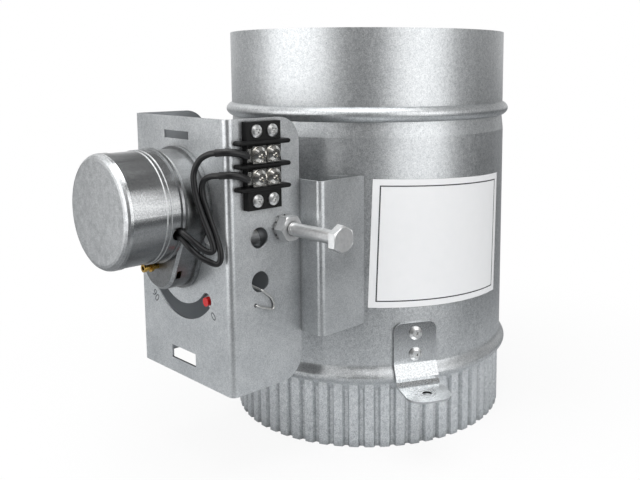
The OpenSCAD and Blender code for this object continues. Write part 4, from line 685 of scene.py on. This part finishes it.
# Extruded PVC is black with a soft shine and a faint orange-peel skin.
pvc_peel = 1.2 * MM
pvc, tree, shader, peel = mottled_finish("black_pvc_insulation", pvc_peel, 2.0, "#0E0E0F", "#1E1E20",
                                         {"Roughness": 0.36})
relief = add_node(tree, "ShaderNodeBump", {"Strength": 0.12, "Distance": 0.1 * MM},
                  {"Height": peel.outputs["Fac"]})
tree.links.new(relief.outputs["Normal"], shader.inputs["Normal"])
lead_radius = 1.35 * MM
sleeve_radius = 1.65 * MM
sleeve_stations = 6
lead_sides = 20
lead_smoothness = 10
upper_route = [[22.22, -140.25, 121.23], [24.26, -140.25, 120.41], [26.3, -139.85, 119.58],
               [30.2, -137.15, 115.9], [31.6, -133.55, 112.4], [33.2, -131.15, 111.1],
               [34.2, -130.15, 112.7], [32.6, -130.85, 118.5], [29.6, -132.35, 126.8],
               [28, -133.95, 134.9], [27.1, -134.55, 142.1], [27.3, -134.15, 146.9],
               [29.8, -133, 151.45], [34, -131.8, 153.95], [37.8, -130.4, 154.85], [41, -127.5, 155.05],
               [42.9, -123.7, 154.75], [43.5, -120.5, 153.85], [43.6, -118.7, 153.1],
               [43.6, -117.6, 153.1]]
lower_route = [[21.17, -140.25, 118.64], [23.21, -140.25, 117.81], [25.07, -139.85, 117.06],
               [28.6, -137.95, 112.9], [30, -134.55, 109.1], [32, -131.35, 106.7],
               [34.2, -129.05, 105.5], [35.6, -127.85, 107.1], [35.6, -127.75, 111.5],
               [33.4, -127.95, 117.1], [30.8, -128.55, 122.9], [29.3, -129.65, 128.9],
               [28.4, -131.15, 135.1], [28.4, -131.35, 139.5], [30.4, -131.35, 142.7],
               [34, -130.4, 144.45], [38, -128.8, 144.95], [41.2, -126.1, 145.15], [43, -122.7, 144.75],
               [43.5, -120.3, 143.65], [43.6, -118.7, 142.9], [43.6, -117.6, 142.9]]
for node_name, points in (("upper_lead", upper_route), ("lower_lead", lower_route)):
    lead = sweep(node_name + "_wire", points, lead_radius, lead_sides, lead_smoothness, pvc)
    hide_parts(node_name)
    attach(lead, "duct")
joined = bmesh.new()
for points in (upper_route, lower_route):
    sleeve = sweep("lead_sleeve", points[-sleeve_stations:], sleeve_radius, lead_sides, lead_smoothness, pvc)
    joined.from_mesh(sleeve.data)
    bpy.data.objects.remove(sleeve)
sleeve_mesh = bpy.data.meshes.new("lead_sleeve_pair")
joined.to_mesh(sleeve_mesh)
joined.free()
sleeve_mesh.materials.append(pvc)
sleeve_pair = bpy.data.objects.new("lead_sleeve_pair", sleeve_mesh)
bpy.context.scene.collection.objects.link(sleeve_pair)
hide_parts("lead_sleeves")
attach(sleeve_pair, "duct")

# Return spring.
# Wound from oil-tempered spring wire, which is grey and half bright: seven turns round the coupler, a
# straight tail out through the lower hole of the flange, and a hook that bends back into the small
# hole. Its sizes are in millimetres.
wire_radius = 0.5
coil_radius = 10.2
coil_pitch = 1.6
coil_turns = 7
last_part_turn = 0.15
turn_stations = 8
coil_rear = -107.95
shaft_height = 103.5
flange = 38.3
inside_flange = 36.3
tail_x = 39.1
pin_y = -111.25
pin_z = 83.7
wire_sides = 12
wire_smoothness = 8
coil = [(-coil_radius * math.sin(2 * math.pi * i / turn_stations),
         coil_rear - coil_pitch * i / turn_stations,
         shaft_height - coil_radius * math.cos(2 * math.pi * i / turn_stations))
        for i in range(coil_turns * turn_stations + 1)]
coil_end = coil_rear - coil_pitch * (coil_turns + last_part_turn)
for inner_radius, angle in ((coil_radius, 30), (coil_radius - 2 * wire_radius, 48)):
    coil.append((-inner_radius * math.sin(math.radians(angle)), coil_end,
                 shaft_height - inner_radius * math.cos(math.radians(angle))))
tail = [(inside_flange, pin_y, pin_z), (flange, pin_y, pin_z), (tail_x, pin_y + 0.5, pin_z - 0.25),
        (tail_x, pin_y + 2.6, pin_z - 1.2), (tail_x, pin_y + 5.8, pin_z - 2.4),
        (tail_x, pin_y + 9, pin_z - 3.4), (tail_x, pin_y + 9.9, pin_z - 1.4),
        (tail_x, pin_y + 8.4, pin_z + 2.1), (tail_x, pin_y + 6, pin_z + 4.2),
        (tail_x - 0.25, -107.85, 90.25), (inside_flange, coil_rear, 90.5), (flange / 2, coil_rear, 92.1),
        coil[0]]
scale_mottle = 1 * MM
tempered, *_ = mottled_finish("oil_tempered_spring_wire", scale_mottle, 3.0, "#BDBDBB", "#EBEBE8",
                              {"Metallic": 1.0, "Roughness": 0.3})
spring_tail = sweep("spring_tail_and_hook", tail, wire_radius * MM, wire_sides, wire_smoothness, tempered)
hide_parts("return_spring")
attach(spring_tail, "duct")
spring_coil = sweep("spring_coil", coil, wire_radius * MM, wire_sides, wire_smoothness, tempered)
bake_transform(spring_coil)

# Stop bolt.
# A quarter-inch hex-head bolt, zinc-plated, with a plain shank under its head and a rolled thread
# over the last stretch, which runs through the nut. The corners of its head are chamfered.
thread_pitch = 1.27 * MM
crest = 3.17 * MM
root = 2.62 * MM
crest_fullness = 0.8
bolt_y = -94.25 * MM
bolt_z = 117.6 * MM
tip_x = 24.1 * MM
tip_chamfer = 0.8 * MM
tip_radius = root - 0.5 * MM
plain_shank = 27.5 * MM
head_x = 74.9 * MM
head_height = 4.1 * MM
half_flats = 5.55 * MM
chamfer_start = half_flats * 1.02
chamfer_angle = math.radians(32)
face_inset = 0.35 * MM
face_round = 0.25 * MM
shank_around = 36
rows_per_turn = 8
head_around = 96
bolt_form = bmesh.new()


def bolt_point(x, radius, angle):
    return bolt_form.verts.new((x, bolt_y + radius * math.cos(angle), bolt_z + radius * math.sin(angle)))


def join_rings(rings):
    for near, far in zip(rings, rings[1:]):
        for k in range(len(near)):
            beside = (k + 1) % len(near)
            bolt_form.faces.new((near[k], near[beside], far[beside], far[k]))


def shank_radius(x, angle):
    if x > head_x - plain_shank:
        return crest
    phase = ((x - tip_x) / thread_pitch - angle / (2 * math.pi)) % 1
    wave = 0.5 - 0.5 * math.cos(2 * math.pi * phase)
    threaded = root + (crest - root) * wave ** crest_fullness
    chamfered = tip_radius + (x - tip_x) * (crest - tip_radius) / tip_chamfer
    return min(threaded, chamfered)


def head_place(edge, angle):
    from_flat = (angle + math.pi / 6) % (math.pi / 3) - math.pi / 6
    reach = half_flats / math.cos(from_flat)
    if edge == "under":
        return head_x, reach
    if edge == "side":
        drop = face_round + max(0, reach - chamfer_start) * math.tan(chamfer_angle)
        return head_x + head_height - drop, reach
    return head_x + head_height, min(reach, chamfer_start) - face_inset


row_count = int((head_x - tip_x) / thread_pitch * rows_per_turn)
shank_angles = [2 * math.pi * k / shank_around for k in range(shank_around)]
shank_rings = []
for row in range(row_count + 1):
    x = tip_x + (head_x - tip_x) * row / row_count
    shank_rings.append([bolt_point(x, shank_radius(x, angle), angle) for angle in shank_angles])
join_rings(shank_rings)
bolt_form.faces.new(shank_rings[0])
head_angles = [2 * math.pi * k / head_around for k in range(head_around)]
head_rings = [[bolt_point(*head_place(edge, angle), angle) for angle in head_angles]
              for edge in ("under", "side", "face")]
join_rings(head_rings)
bolt_form.faces.new(head_rings[0])
bolt_form.faces.new(head_rings[-1])
bmesh.ops.recalc_face_normals(bolt_form, faces=bolt_form.faces)
bolt_mesh = bpy.data.meshes.new("threaded_stop_bolt")
bolt_form.to_mesh(bolt_mesh)
bolt_form.free()
bolt_mesh.materials.append(zinc)
stop_bolt = bpy.data.objects.new("threaded_stop_bolt", bolt_mesh)
bpy.context.scene.collection.objects.link(stop_bolt)
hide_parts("stop_bolt")
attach(stop_bolt, "bolt")

# Dial marks.
# Plain numbers stamped lightly into the plate beside the ends of the curved slot, drawn here as thin
# dark shapes whose grey is painted shade for the stamped recesses: 0 where the pointer rests with the
# blade closed, 90 where it stands with the blade open.
plate_y = -124.95 * MM
dial_radius = 35.2 * MM
number_size = 6.0 * MM
number_thickness = 0.02 * MM
# Painted shade: a flat dark grey stands in for the shade in the stamped recesses.
stamped, *_ = start_finish("stamped_recess_painted_shade",
                           {"Base Color": from_hex("#7C7F82"), "Metallic": 1.0, "Roughness": 0.55})
for text, angle in (("0", 45), ("90", -45)):
    letters = bpy.data.curves.new("dial_" + text, "FONT")
    letters.body = text
    letters.size = number_size
    letters.align_x = "CENTER"
    letters.align_y = "CENTER"
    letters.extrude = number_thickness
    mark = bpy.data.objects.new("dial_" + text, letters)
    bpy.context.scene.collection.objects.link(mark)
    bpy.context.view_layer.update()
    graph = bpy.context.evaluated_depsgraph_get()
    shape = bpy.data.meshes.new_from_object(mark.evaluated_get(graph), depsgraph=graph)
    bpy.data.objects.remove(mark)
    lean = math.radians(angle)
    shape.transform(Matrix.Translation((dial_radius * math.sin(lean), plate_y - number_thickness,
                                        shaft_height * MM - dial_radius * math.cos(lean)))
                    @ Matrix.Rotation(-lean, 4, "Y") @ Matrix.Rotation(math.pi / 2, 4, "X"))
    shape.materials.clear()
    shape.materials.append(stamped)
    piece = bpy.data.objects.new("dial_mark_" + text, shape)
    bpy.context.scene.collection.objects.link(piece)
    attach(piece, "duct")
